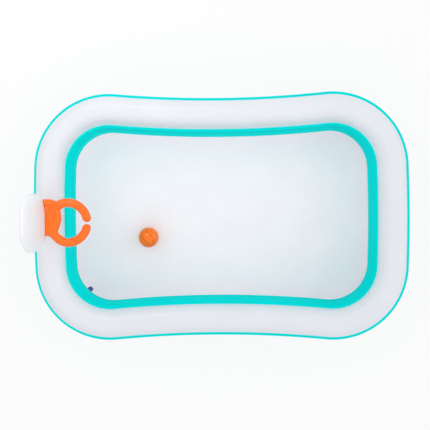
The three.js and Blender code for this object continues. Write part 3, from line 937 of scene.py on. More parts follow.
@dataclass
class RingSkin:
    """One welded sheet of a ring."""

    name: str
    slot: str  # the slot of its finish
    section: HalfTube  # the shape of its section
    seam: float  # height of the ring's seam
    reach: float  # height of the half tube, below 0 where it hangs under its seam
    seed: int  # seed of its puckers
    wave_seed: int  # seed of the flange's wave, which both skins of a ring share
    valve: str | None = None  # the name of the valve on it, if it has one
    pucker: float = 1.6 * MM  # depth of the puckers at the weld
    pucker_length: float = 26 * MM  # how far they run in from the weld
    straight_share: float = 0.25  # how deep they are on the straights, as a share of the corners'
    wave: float = 1.1 * MM  # height of the flange's wave
    full_flange: float = 12 * MM  # width of a flange that waves fully
    bead: float = 2.6 * MM  # width of the weld's mark, which the teal skins show as a painted highlight line
    outer_bead: float = 0.1  # share of the mark on the ring's outer side

    def build(self, stations: Stations, seats: list[Seat]) -> Piece:
        """Sweeps the section round the path.

        A point is centre + offset times normal, seam + height. Close to the weld it sinks
        by puckers that run across the seam, deepest in the corners, and the flange waves
        up and down with its edge.

        Args:
            stations: Stations round the path.
            seats: Valve seats on this skin.

        Returns:
            The new piece.
        """
        outline = self.section.outline(abs(self.reach))
        offset, height, root = outline.T
        normal = left_of(outline[:, :2])
        normal *= math.copysign(1.0, normal[len(normal) // 2, 1])
        phase = stations.phase()
        strength = self.straight_share + (1 - self.straight_share) * stations.turn
        near = fade(np.maximum(root, 0.0), self.pucker_length, 1.5) * (root > 0)
        depth = strength * folds(phase, (97, 118, 131, 149, 163), self.seed)
        sink = -self.pucker * np.multiply.outer(depth, near)
        flange = self.section.flange
        flap = smooth_step(-root, 0.0, flange) * min(1.0, flange / self.full_flange)
        waves = ripples(phase, (61, 83, 104, 127), self.wave_seed)
        lift = self.wave * np.multiply.outer(waves, flap)
        across = (offset + sink * normal[:, 0])[..., None]
        up = math.copysign(1.0, self.reach) * (height + sink * normal[:, 1]) + lift
        flat = stations.centre[:, None] + across * stations.normal[:, None]
        points = np.concatenate([flat, (self.seam + up)[..., None]], -1)
        for seat in seats:
            points = seat.flatten(points)
        middle = np.full(len(phase), self.seam + self.reach / 2)
        surface = Surface(
            points,
            core=np.column_stack([stations.centre, middle])[:, None],
            closed_rows=True,
            along=stations.wrapped_travel(),
            across=run_along(outline[:, :2]),
            # on all skins this mark gives the ribs; on the teal skins it is also painted lighter, a
            # highlight along the weld crease
            weld=(fade(root, self.bead) * np.where(offset < 0, 1.0, self.outer_bead))[None, :],
        )
        return make_sheet(self.name, surface)


@dataclass
class PoolRings:
    """Both rings of the pool, as four welded skins on one path."""

    path: RingPath
    low_seam: float = 0.108
    top_seam: float = 0.3
    count: int = 560

    def skins(self) -> tuple[RingSkin, ...]:
        """Lists the skins of both rings, from the ground up.

        Returns:
            The four skins.
        """
        wide, narrow, low, top = 0.116, 0.0925, self.low_seam, self.top_seam
        white, teal = "white_vinyl", "teal_vinyl"
        ground, low_joint = HalfTube(wide, 0.040, 0.017), HalfTube(wide, 0.034, 0.017)
        top_joint, crest = HalfTube(narrow, 0.034, 0.019), HalfTube(narrow, 0.018, 0.002)
        return (
            RingSkin("bottom_ring_lower", white, ground, low, -0.1076, 11, 12),
            RingSkin("bottom_ring_upper", teal, low_joint, low, 0.096, 13, 12, "bottom_ring"),
            RingSkin("top_ring_lower", teal, top_joint, top, -0.096, 15, 16, "top_ring"),
            RingSkin("top_ring_upper", white, crest, top, 0.094, 19, 16),
        )

    def build(self, shop: Workshop, seats: dict[str, Seat]) -> None:
        """Makes the four skins.

        Args:
            shop: What finishes and seats the pieces.
            seats: The valve seats of both rings, by name.
        """
        stations = self.path.stations(self.count, [seat.centre for seat in seats.values()])
        for skin in self.skins():
            valves = [seats[skin.valve]] if skin.valve else []
            shop.settle(skin.build(stations, valves), "pool", f"{skin.name}_skin", skin.slot)


@dataclass
class FloorSheet:
    """Floor of the pool: one flat sheet with slow waves, flat under the drain and the ball."""

    path: RingPath
    overlap: float = 0.025  # how far past the path the sheet goes
    hole: float = 8.5 * MM  # radius of the drain's hole
    wave: float = 2.4 * MM  # height of the waves
    # distances from the drain at which the waves start and are full
    drain_calm: tuple[float, float] = (0.03, 0.16)
    ball_calm: tuple[float, float] = (0.05, 0.2)  # the same for the ball
    weld_calm: float = 0.1  # distance from the weld at which the waves are full
    pucker_middle: float = 0.11  # distance from the weld at which its puckers are highest
    pucker_width: float = 0.09  # how far they spread on both sides of it
    swell_share: float = 0.55  # share of the slow waves in the height
    pucker_share: float = 0.5  # share of the weld's puckers in it
    rows: int = 76  # rows from the hole to the outline
    columns: int = 520  # columns round the sheet

    def build(self, drain: Array, ball: Array) -> Piece:
        """Spreads rays from the drain's hole to the outline.

        A point is hole + (outline - hole) times g, where g crowds its rows near the hole.
        Its height is a slow swell that dies out near the drain, the ball and the weld to
        the ring, where small puckers run in.

        Args:
            drain: Centre of the drain.
            ball: Centre of the ball.

        Returns:
            The new piece.
        """
        stations = self.path.stations(self.columns, [])
        outline = stations.centre + self.overlap * stations.normal
        heading = np.arctan2(outline[:, 1] - drain[1], outline[:, 0] - drain[0])
        rim = drain[:2] + self.hole * np.stack([np.cos(heading), np.sin(heading)], 1)
        crowd, share_there = 0.12, 0.03
        share = np.interp(np.linspace(0, 1, self.rows), [0, crowd, 1], [0, share_there, 1])
        away = np.linalg.norm(outline - rim, axis=1)
        x, y = np.moveaxis(rim + (outline - rim) * share[:, None, None], -1, 0)
        inset = away * (1 - share[:, None])
        calm = smooth_step(inset, 0.0, self.weld_calm)
        for middle, reach in ((drain, self.drain_calm), (ball, self.ball_calm)):
            calm = calm * smooth_step(np.hypot(x - middle[0], y - middle[1]), *reach)
        edge = fade(inset - self.pucker_middle, self.pucker_width)
        edge = edge * ripples(stations.phase(), (47, 61, 74, 88), 31)
        slow = self.swell_share * (1 + swell(x, y, 7))
        height = self.wave * (slow + self.pucker_share * (1 + edge))
        points = np.stack([x, y, SHEET + np.clip(height * calm, 0.0, None)], -1)
        surface = Surface(
            points,
            core=np.array([0.0, 0.0, -1.0]),
            closed_columns=True,
            along=away.mean() * share,
            across=stations.wrapped_travel(),
        )
        piece = make_sheet("floor_vinyl", surface)
        return piece

    @staticmethod
    def area(outline: Array) -> float:
        """Returns the area inside a closed outline, by the sum of its cross products."""
        after = np.roll(outline, -1, axis=0)
        return float(abs((outline[:, 0] * after[:, 1] - outline[:, 1] * after[:, 0]).sum()) / 2)


# Backboard


@dataclass
class Backboard:
    """Pillow that stands on the top ring, with the fin and the patch that hold it."""

    plane_x: float = -1.150  # where the seam's plane is
    shift_y: float = -0.0243  # where its middle is across the pool
    middle_z: float = 0.7016  # height of its middle
    half_width: float = 0.173  # half its width inside the seam
    half_height: float = 0.2925  # half its height inside the seam
    seam: float = 8 * MM  # width of the seam
    bulge: float = 44 * MM  # how far each skin stands from the seam's plane
    roundness: float = 2.93  # power of the outline's superellipse
    pucker: float = 2.2 * MM  # depth of the puckers at the seam
    pucker_length: float = 34 * MM  # how far they run in from the seam
    side_share: float = 0.45  # how deep they are on the straight sides, as a share of the corners'
    corner_gain: float = 1.8  # how soon round a corner they are at their deepest
    wave: float = 0.5 * MM  # how far the seam waves out of its plane
    bead: float = 3 * MM  # width of the weld's mark
    seam_mark: float = 0.7  # share of weld on the seam
    crowding: float = 1.1  # power that brings the rows closer to the seam
    rows: int = 44  # rows from the seam to the middle
    columns: int = 224  # columns round the skin
    # where the seam has its points, as shares of its width
    seam_rows: tuple[float, ...] = (1.0, 0.92, 0.5, 0.15)

    def face(self, y: Array, z: Array | float) -> Array:
        """Works out how far the smooth pillow stands from its seam plane.

        The rank of a point is |y/a|^n + |z/b|^n, and the height is the bulge times
        sqrt(1 - rank^(2/n)).

        Args:
            y: Places across the pool.
            z: Heights over the ground.

        Returns:
            The distance at each place.
        """
        across = np.abs(y - self.shift_y) / self.half_width
        up = np.abs(z - self.middle_z) / self.half_height
        rank = np.clip(across**self.roundness + up**self.roundness, 0.0, 1.0)
        return self.bulge * np.sqrt(1 - rank ** (2 / self.roundness))

    def skin(self, name: str, side: float, seed: int, seats: list[Seat]) -> Piece:
        """Makes one skin, from its seam edge in to the middle.

        Rows follow the share cos t of the outline, and stand bulge times sin t off the
        seam plane. Puckers run in from the seam and fade over their length.

        Args:
            name: Name of the piece.
            side: 1 for the front skin, -1 for the back one.
            seed: Seed of the puckers.
            seats: Valve seats on this skin.

        Returns:
            The new piece.
        """
        rim_y, rim_z = squircle(self.columns, 2 / self.roundness)
        seam_rows = len(self.seam_rows)
        t = np.linspace(0, math.pi / 2, self.rows) ** self.crowding
        t *= (math.pi / 2) / t[-1]
        share = np.concatenate([np.ones(seam_rows), np.cos(t)])[:, None]
        share[-1] = 0.0
        grow = np.concatenate([self.seam * np.array(self.seam_rows), np.zeros(self.rows)])[:, None]
        lift = np.concatenate([np.zeros(seam_rows), self.bulge * np.sin(t)])[:, None]
        y = self.shift_y + rim_y * (self.half_width * share + grow)
        z = self.middle_z + rim_z * (self.half_height * share + grow)
        edge = np.stack([rim_y * self.half_width, rim_z * self.half_height], 1)
        travel = run_along(np.concatenate([edge, edge[:1]]))
        phase = travel[:-1] / travel[-1]
        inset = (1 - share) * self.half_width
        near = fade(inset, self.pucker_length, 1.4) * smooth_step(inset, 0.0, 2.5 * MM)
        corner = (np.abs(rim_y * rim_z) * self.corner_gain).clip(0, 1)
        strength = self.side_share + (1 - self.side_share) * corner
        sink = self.pucker * near * folds(phase, (41, 53, 62, 71, 83), seed) * strength
        wave = self.wave * ripples(phase, (31, 44, 57), 5) * (grow / self.seam)
        points = np.stack([self.plane_x + side * (SHEET + lift - sink) + wave, y, z], -1)
        for seat in seats:
            points = seat.flatten(points)
        core = np.array([self.plane_x, self.shift_y, self.middle_z])
        bead = fade(inset[seam_rows:, 0], self.bead)
        run = np.cumsum(np.abs(np.diff(grow[:, 0])) + np.abs(np.diff(inset[:, 0])))
        surface = Surface(
            points,
            core,
            closed_columns=True,
            pole_last=True,
            along=np.append(0.0, run),
            across=travel,
            weld=np.concatenate([np.full(seam_rows, self.seam_mark), bead])[:, None],
        )
        return make_sheet(name, surface)

    def fin(self, low: Array, high: Array) -> Piece:
        """Makes the flat fin behind the lower seam.

        At a share s from its middle its height is 1 - drop |s|^power of the whole, so
        both ends come down.

        Args:
            low: Lowest corner of the fin's box.
            high: Highest corner of the fin's box.

        Returns:
            The new piece.
        """
        drop, power = 0.85, 7
        across = np.linspace(-1, 1, 97)
        up = np.linspace(0, 1, 17)[:, None]
        y = (low[1] + high[1]) / 2 + across * (high[1] - low[1]) / 2
        z = low[2] + up * (high[2] - low[2]) * (1 - drop * np.abs(across) ** power)
        points = np.stack(np.broadcast_arrays((low[0] + high[0]) / 2 + SHEET / 2, y, z), -1)
        return self.strip("backboard_foot_strip", points, (1.0, 0.0, 0.0), high[0] - low[0])

    def saddle(self, low: Array, high: Array) -> Piece:
        """Makes the patch on the ring's crest: a strip with round ends.

        At a share e along an end its width is sqrt(1 - (1 - e)^2) of the whole, and
        never less than a quarter.

        Args:
            low: Lowest corner of the patch's box.
            high: Highest corner of the patch's box.

        Returns:
            The new piece.
        """
        half, middle = (high - low) / 2, (high + low) / 2
        end_length, least_share = 0.6 * half[0], 0.25
        along = np.linspace(-1, 1, 121)
        end = np.clip((1 - np.abs(along)) * half[1] / end_length, 0, 1)
        width = half[0] * np.sqrt(1 - (1 - end) ** 2).clip(least_share, 1)
        x = middle[0] + np.linspace(-1, 1, 15)[:, None] * width
        points = np.stack(np.broadcast_arrays(x, middle[1] + along * half[1], high[2]), -1)
        thickness = high[2] - low[2]
        return self.strip("backboard_saddle_patch_sheet", points, (0.0, 0.0, -1.0), thickness)

    @staticmethod
    def strip(name: str, points: Array, inward: tuple[float, ...], thickness: float) -> Piece:
        """Makes a thin strip with a welded edge.

        Args:
            name: Name of the piece.
            points: Its outside, as a grid.
            inward: The way in from its outside.
            thickness: Its thickness.

        Returns:
            The new piece.
        """
        middle_weld, core_depth = 0.25, 0.05
        weld = np.ones(points.shape[:2])
        weld[2:-2, 3:-3] = middle_weld
        run, travel = (
            np.linspace(0, float(np.linalg.norm(end - points[0, 0])), count)
            for end, count in zip((points[-1, 0], points[0, -1]), points.shape)
        )
        core = points + np.array(inward) * core_depth
        surface = Surface(points, core, along=run, across=travel, weld=weld)
        return make_sheet(name, surface, thickness)


# Hoop


@dataclass
class Hoop:
    """Split hoop: two arms of round tube that grow out of a wide pad on the board."""

    board: Backboard  # the board that it is welded to
    centre_x: float = -0.9723  # where its middle is along the pool
    centre_y: float = -0.0267  # where its middle is across the pool
    height: float = 0.54534  # height of its seam's plane
    radius: float = 0.1279  # radius of the arms' middle line
    tube: float = 0.0254  # radius of the arms' tube
    seam: float = 2.5 * MM  # width of the seam
    pad_lift: float = 28 * MM  # how far the pad's skins stand from the seam's plane
    gap_top: float = 2.7  # angle at which the upper tip ends, in degrees
    gap_bottom: float = 354.7  # angle at which the lower tip ends
    stand: float = 1.7 * MM  # distance of the pad's edge from the board's smooth face
    face_steepness: float = 12.0  # how steeply the pad's skins rise at the board
    bump: float = 1.6 * MM  # depth of the tips' uneven outline, and of their puckers
    bump_angle: float = 166.0  # angle from the pad at which the outline is most uneven
    bump_spread: float = 12.0  # how far it is uneven on both sides of that
    end_angle: float = 172.0  # angle from the pad at which the tips' puckers are deepest
    end_spread: float = 9.0  # how far they spread on both sides of that
    pucker: float = 1.3 * MM  # depth of the puckers at the inner edge
    pucker_length: float = 9 * MM  # how far they run in from the weld
    # height of the ridge where the upper arm grows out of the pad, on each skin
    ridge: tuple[float, float] = (4.5 * MM, 1.0 * MM)
    ridge_width: float = 13 * MM  # half its width
    bead: float = 2.2 * MM  # width of the weld's mark
    seam_mark: float = 0.8  # share of weld on the seam
    sheet_width: float = 0.08  # width of the flat sheet across an arm
    pitch: float = 1.1  # degrees from one row of the arms to the next
    # first and last angle of the rows round a tip
    tip_angles: tuple[float, float] = (math.pi / 2 - 0.06, 0.05)
    tip_rows: int = 16  # rows round a tip
    tube_rows: int = 47  # points across the tube
    # where the flange has its points, as shares of its width
    flange_rows: tuple[float, ...] = (1.0, 0.9, 0.5, 0.14)
    # Angle, share of the outer radius and share of the inner radius. A share over 2 stands for
    # the board's face.
    edge: Line = (
        (100, 1, 1), (108, 1, 0.972), (115, 0.985, 0.953), (119.5, 1.03, 0.915),
        (124, 1.165, 0.745), (129.5, 1.26, 0.637), (133.5, 1.335, 0.573), (136.5, 1.44, 0.538),
        (138.0, 9, 0.525), (147, 9, 0.465), (157, 9, 0.43), (168, 9, 0.42), (180, 9, 0.43),
        (190, 9, 0.452), (201, 9, 0.507), (210.5, 9, 0.603), (215, 0.948, 0.662),
        (220, 0.924, 0.787), (226, 0.92, 0.868), (236, 0.944, 0.9), (247, 0.972, 0.921),
        (257, 0.984, 0.955), (267, 1, 1),
    )
    # lines of the creases, from the hoop's middle
    creases: tuple[Line, ...] = (
        ((-0.146, 0.106), (-0.121, 0.103), (-0.098, 0.108), (-0.09, 0.125), (-0.08, 0.14)),
        ((-0.043, 0.092), (-0.067, 0.076), (-0.084, 0.052), (-0.09, 0.03)),
        ((-0.065, -0.061), (-0.11, -0.086)),
    )
    # depth and half width of each crease
    crease_cuts: Line = ((8 * MM, 6 * MM), (8 * MM, 7 * MM), (5 * MM, 8 * MM))
    # line of the ridge
    arm_root: Line = ((-0.098, 0.078), (-0.083, 0.1), (-0.06, 0.116), (-0.035, 0.124))

    def face_radius(self, angle: Array) -> Array:
        """Finds where rays from the hoop's middle meet the patch on the board.

        The radius is (plane + face(y) + stand - centre) / cos(angle) with
        y = centre + radius sin(angle), repeated until it settles.

        Args:
            angle: The rays' angles in radians.

        Returns:
            The radius at each angle.
        """
        radius = np.full_like(angle, self.radius + self.tube + self.seam)
        for _ in range(40):
            face = self.board.face(self.centre_y + radius * np.sin(angle), self.height)
            radius = (self.board.plane_x + face + self.stand - self.centre_x) / np.cos(angle)
        return radius

    def edges(self, degrees: Array) -> tuple[Array, Array]:
        """Works out the outer and the inner edge in plan.

        Between the table's marks the radii are straight, and then blurred by a bell curve.
        Beside the board none goes past the board's face.

        Args:
            degrees: The angles.

        Returns:
            The outer and the inner radius at each angle.
        """
        marks, outer_share, inner_share = np.array(self.edge, float).T
        reach = self.tube + self.seam
        outside, inside = self.radius + reach, self.radius - reach
        on_face = outer_share > 2
        radii = outer_share * outside
        radii[on_face] = self.face_radius(np.radians(marks[on_face]))
        step, span, width = 0.25, 40, 1.6
        fine = np.arange(0, 360, step)
        spread = np.exp(-0.5 * (np.arange(-span, span + 1) * step / width) ** 2)
        spread /= spread.sum()
        result = []
        for table, plain in ((radii, outside), (inner_share * inside, inside)):
            line = np.pad(np.interp(fine, marks, table, plain, plain), span, mode="edge")
            result.append(np.interp(degrees, fine, np.convolve(line, spread, "valid")))
        outer, inner = result
        cosine_beside = -0.3
        beside = np.cos(np.radians(degrees)) < cosine_beside
        outer[beside] = np.minimum(outer[beside], self.face_radius(np.radians(degrees[beside])))
        return outer, inner

    def outline(self) -> dict[str, Array]:
        """Lists the rows round the hoop, from the upper tip to the lower one.

        At a tip the tube's half width is sqrt(R^2 - a^2) at a distance a past the tip's
        centre, and the flange's is the same with the radius of the flange.

        Returns:
            The angle, the middle's radius and both half widths of each row.
        """
        start = self.gap_top + math.degrees(self.tube / self.radius)
        end = self.gap_bottom - math.degrees(self.tube / self.radius)
        reach = self.tube + self.seam
        past = reach * np.sin(np.linspace(*self.tip_angles, self.tip_rows))
        tip = np.degrees(past / self.radius)
        arms = np.append(np.arange(start, end, self.pitch), end)
        degrees = np.concatenate([start - tip, arms, (end + tip)[::-1]])
        beyond = np.concatenate([past, np.zeros(len(arms)), past[::-1]])
        outer, inner = self.edges(degrees)
        near_tip = fade(np.abs(degrees - 180) - self.bump_angle, self.bump_spread)
        half = (outer - inner) / 2 - self.seam
        half = half + self.bump * near_tip * ripples(degrees / 360, (23, 31, 43), 29)
        tube = half * np.sqrt(np.clip(1 - (beyond / self.tube) ** 2, 0, 1))
        flange = (half + self.seam) * np.sqrt(np.clip(1 - (beyond / reach) ** 2, 0, 1))
        return {
            "angle": np.radians(degrees),
            "middle": (outer + inner) / 2,
            "tube": tube,
            "flange": flange,
        }

    def plan(self, rows: dict[str, Array]) -> tuple[Array, Array, Array]:
        """Lays the grid out over the outline.

        Args:
            rows: The rows round the hoop.

        Returns:
            x and y of the grid, and each point's distance in from the weld, which counts
            more along the board's face, so that the skin rises steeply there.
        """
        flange_share = np.array(self.flange_rows)[:, None]
        outside = rows["tube"] + flange_share * (rows["flange"] - rows["tube"])
        tube_share = np.cos(np.linspace(0, math.pi, self.tube_rows)[:, None])
        across = np.concatenate([outside, tube_share * rows["tube"], -outside[::-1]]).T
        radius = rows["middle"][:, None] + across
        x = self.centre_x + radius * np.cos(rows["angle"])[:, None]
        y = self.centre_y + radius * np.sin(rows["angle"])[:, None]
        root = len(flange_share)
        first, last = (np.stack([x[:, column], y[:, column]], -1) for column in (root, -root - 1))
        rim = densify(np.concatenate([first, last[::-1], first[:1]]))
        face = self.board.plane_x + self.board.face(rim[:, 1], self.height)
        steep = np.where(rim[:, 0] < face + self.stand + 2 * self.seam, self.face_steepness, 1.0)
        inset = np.zeros_like(x)
        for column in range(root + 1, x.shape[1] - root - 1):
            gap = np.hypot(x[:, column, None] - rim[:, 0], y[:, column, None] - rim[:, 1])
            inset[:, column] = (gap * steep).min(1)
        return x, y, inset

    def lift(self, rows: dict[str, Array], x: Array, y: Array, inset: Array, side: float) -> Array:
        """Returns the skin's height over the seam plane.

        The height is a quarter circle of the inset, up to the lift of the arm or pad.
        Creases cut in where the arms and the corner lobe grow out of the pad, a ridge
        runs on from the upper arm, and small puckers run in from the tight inner edge.

        Args:
            rows: The rows round the hoop.
            x: The grid's x.
            y: The grid's y.
            inset: Distance in from the weld.
            side: 1 for the upper skin, -1 for the lower one.

        Returns:
            The height at each point of the grid.
        """
        full = np.clip(rows["tube"], 0.05 * MM, self.pad_lift)[:, None]
        ratio = np.clip(inset / full, 0.0, 1.0)
        height = full * np.sqrt(1 - (1 - ratio) ** 2)
        middle = np.array([self.centre_x, self.centre_y])
        for line, (depth, width) in zip(self.creases, self.crease_cuts):
            crease = fade(gap_to(x, y, np.array(line) + middle), width)
            height = height - depth * crease * (height / self.pad_lift)
        ridge, seed = (self.ridge[0], 17) if side > 0 else (self.ridge[1], 23)
        from_root = gap_to(x, y, np.array(self.arm_root) + middle)
        height = height + ridge * fade(from_root, self.ridge_width) * ratio
        angle = rows["angle"][:, None]
        tight = smooth_step(np.linspace(-1, 1, x.shape[1])[None, :], 0.05, 0.8)
        sink = self.pucker * folds(angle / TURN, (67, 79, 92, 103), seed) * tight
        height = height - sink * fade(inset, self.pucker_length) * (inset > 0)
        ends = fade(np.abs(np.degrees(angle) - 180) - self.end_angle, self.end_spread)
        height = height + self.bump * ripples(angle / TURN * 9, (3, 5, 8), 41) * ends * ratio
        return np.maximum(height, 0.0)

    def skin(self, name: str, side: float, seats: list[Seat]) -> Piece:
        """Makes the upper or lower skin.

        Args:
            name: Name of the piece.
            side: 1 for the upper skin, -1 for the lower one.
            seats: Valve seats on this skin.

        Returns:
            The new piece.
        """
        rows = self.outline()
        x, y, inset = self.plan(rows)
        height = self.lift(rows, x, y, inset, side)
        points = np.stack([x, y, self.height + side * (SHEET + height)], -1)
        for seat in seats:
            points = seat.flatten(points, outer=CLOSE_REACH)
        core = np.stack([x.mean(1), y.mean(1), np.full(len(x), self.height)], -1)[:, None]
        surface = Surface(
            points,
            core,
            along=np.linspace(0, TURN * self.radius, len(x) + 1),
            across=np.linspace(0, self.sheet_width, x.shape[1] + 1),
            weld=np.where(inset > 0, fade(inset, self.bead), self.seam_mark),
        )
        return make_sheet(name, surface, merge=True)

    def patch(self, low: Array, high: Array) -> Piece:
        """Makes the strip on the board's face behind the pad, on the face's own curve.

        Args:
            low: Lowest corner of the patch's box.
            high: Highest corner of the patch's box.

        Returns:
            The new piece.
        """
        stand, thickness = 1.1 * MM, 0.8 * MM
        y = np.linspace(low[1], high[1], 141)
        z = np.linspace(low[2], high[2], 25)[:, None]
        x = self.board.plane_x + self.board.face(y, z) + stand
        points = np.stack(np.broadcast_arrays(x, y, z), -1)
        return Backboard.strip("hoop_root_patch", points, (-1.0, 0.0, 0.0), thickness)


# Ball


@dataclass
class Ball:
    """Ball of two half skins welded at the middle, with pressed and printed grooves."""

    radius: float = 71 * MM  # its radius to the valve's seat
    cap_angle: float = 15.0  # angle from the axis to the edge of the valve's flat, in degrees
    # marks of the groove on top as x and y, of a ball with a radius of 1
    loop: Line = (
        (-0.252, 0.905), (-0.184, 0.843), (-0.059, 0.603), (0.144, 0.404), (0.336, 0.228),
        (0.492, 0.015), (0.575, -0.186), (0.598, -0.389), (0.532, -0.561), (0.405, -0.705),
        (0.244, -0.760), (0.031, -0.632), (-0.147, -0.443), (-0.354, -0.180), (-0.516, 0.112),
        (-0.595, 0.373), (-0.566, 0.579), (-0.477, 0.768),
    )
    groove_depth: float = 1.1 * MM
    groove_width: float = 2.8 * MM  # half its width
    ridge: float = 0.5 * MM  # height of the weld's ridge
    ridge_width: float = 1.6 * MM  # half its width
    pucker: float = 0.5 * MM  # depth of the puckers beside the weld
    pucker_length: float = 12 * MM  # how far they run from the weld
    rows: int = 92  # rows from the pole to the weld
    columns: int = 300  # columns round the ball

    def groove_line(self) -> Array:
        """Draws the groove's closed loop between its marks, smoothed by a moving mean.

        The loop's marks are x and y, and z is sqrt(1 - x^2 - y^2).

        Returns:
            Unit directions along the loop.
        """
        step, span = 0.05, 13
        marks = np.array([*self.loop, self.loop[0]])
        flat = sample(marks, np.arange(len(marks)), np.arange(0, len(self.loop), step))
        around = np.concatenate([flat[-(span // 2) :], flat, flat[: span // 2]])
        mean = np.ones(span) / span
        flat = np.stack([np.convolve(column, mean, "valid") for column in around.T], 1)
        rise = np.sqrt(np.clip(1 - (flat**2).sum(1), 0, None))
        return unit(np.column_stack([flat, rise]))

    def half(self, name: str, seat: Seat, low: float, side: float) -> Piece:
        """Makes one half, from its pole to the weld round the middle.

        A point is centre + radius times its direction. It sinks in the groove on top and
        in its twin below, whose distance is radius times the angle from the line.

        Args:
            name: Name of the piece.
            seat: Seat of the ball's valve.
            low: Height of the surface that the ball rests on.
            side: 1 for the half with the valve, -1 for the plain one.

        Returns:
            The new piece.
        """
        centre = seat.centre - seat.out * self.radius * math.cos(math.radians(self.cap_angle))
        radius = centre[2] - low
        tilt = np.linspace(0, math.pi / 2, self.rows)[:, None]
        angle = even_turn(self.columns)[None, :]
        direction = (
            side * np.cos(tilt)[..., None] * seat.out
            + (np.sin(tilt) * np.cos(angle))[..., None] * seat.along
            + (np.sin(tilt) * np.sin(angle))[..., None] * np.cross(seat.out, seat.along)
        )
        nearness = np.abs(direction @ self.groove_line().T).max(-1)
        groove = fade(radius * np.arccos(np.clip(nearness, -1, 1)), self.groove_width, 4)
        from_weld = radius * (math.pi / 2 - tilt)
        ridge = self.ridge * fade(from_weld, self.ridge_width)
        pucker = self.pucker * folds(angle[0] / TURN, (38, 47, 55), 3)
        pucker = pucker * fade(from_weld, self.pucker_length, 1.6)
        pucker = pucker * smooth_step(from_weld, 0, 2 * MM)
        reach = radius - self.groove_depth * groove + ridge - pucker
        points = centre + direction * np.minimum(reach, radius)[..., None]
        if side > 0:
            points = seat.flatten(points, outer=CLOSE_REACH)
        surface = Surface(
            points,
            centre,
            closed_columns=True,
            pole_first=True,
            along=radius * np.append(tilt[:, 0], math.pi / 2),
            across=np.linspace(0, TURN * radius, self.columns + 1),
            weld=groove,
        )
        return make_sheet(name, surface)


# Valves and drain


@dataclass
class Plug:
    """Captive plug: stopper, head with a grip rim, strap and the loop round the neck."""

    stopper_radius: float
    stopper_foot: float  # height of its lower end over the seat
    head_radius: float
    head_foot: float  # height of the head's underside
    head_top: float  # height of the head's rim
    neck_radius: float  # radius of the neck that the loop goes round
    loop_foot: float  # height of the loop's underside
    strap_thickness: float = 1.2 * MM  # thickness of the strap and the loop
    strap_width: float = 3.6 * MM
    loop_width: float = 2.2 * MM
    strap_reach: float = 2.7 * MM  # how far the strap's bend goes out
    gap: float = 0.3 * MM  # clearance, and size of the small steps
    rounding: float = 0.35 * MM  # size of the edges' rounding
    strap_rounding: float = 0.3 * MM  # size of the rounding of the strap's edges

    def surfaces(self, seat: Seat) -> list[Surface]:
        """Makes the stopper with its head, the loop and the strap.

        Args:
            seat: The plug's seat.

        Returns:
            Their closed surfaces.
        """
        dish = 0.72 * self.head_radius
        corners = (
            (0.0, self.stopper_foot),
            (self.stopper_radius - self.gap, self.stopper_foot),
            (self.stopper_radius, self.stopper_foot + 4 * self.gap),
            (self.stopper_radius, self.head_foot),
            (self.head_radius, self.head_foot),
            (self.head_radius, self.head_top),
            (dish, self.head_top),
            (dish - self.gap, self.head_top - self.gap),
            (0.0, self.head_top - self.gap),
        )
        inner = self.neck_radius + self.gap
        outer = inner + self.loop_width
        loop_top = self.loop_foot + self.strap_thickness
        loop = rounded_box(inner, outer, self.loop_foot, loop_top, self.rounding)
        stopper = lathe(open_rounding(corners, self.rounding), 64, seat, closed=False)
        return [stopper, lathe(loop, 72, seat), self.strap(seat, inner, outer)]

    def strap(self, seat: Seat, loop_inner: float, loop_outer: float) -> Surface:
        """Sweeps the strap's rounded section along its bend.

        The path runs out from the head, round a half circle, and back to the loop.

        Args:
            seat: The plug's seat.
            loop_inner: Inner radius of the loop.
            loop_outer: Outer radius of the loop.

        Returns:
            The closed surface.
        """
        half, half_width = self.strap_thickness / 2, self.strap_width / 2
        top, foot = self.head_foot + half, self.loop_foot + half
        bend = max(loop_outer, self.head_radius) + self.strap_reach / 2
        turn = np.linspace(math.pi / 2, -math.pi / 2, 25)
        radius, centre = (top - foot) / 2, (top + foot) / 2
        arc = np.stack([bend + radius * np.cos(turn), centre + radius * np.sin(turn)], 1)
        start = self.head_radius - self.loop_width, top
        end = loop_inner + self.loop_width / 2, foot
        path = np.concatenate([[start], arc, [end]])
        normal = left_of(path)
        section = rounded_box(-half, half, -half_width, half_width, self.strap_rounding)
        size = np.pad(np.ones(len(path)), 1)[:, None]
        path, normal = (np.pad(rows, ((1, 1), (0, 0)), mode="edge") for rows in (path, normal))
        x, z = (path[:, k, None] + normal[:, k, None] * section[:, 0] * size for k in range(2))
        core = np.stack([path[:, 0], np.zeros(len(path)), path[:, 1]], 1)[:, None]
        return capped(seat.place(np.stack([x, section[:, 1] * size, z], -1)), seat.place(core))


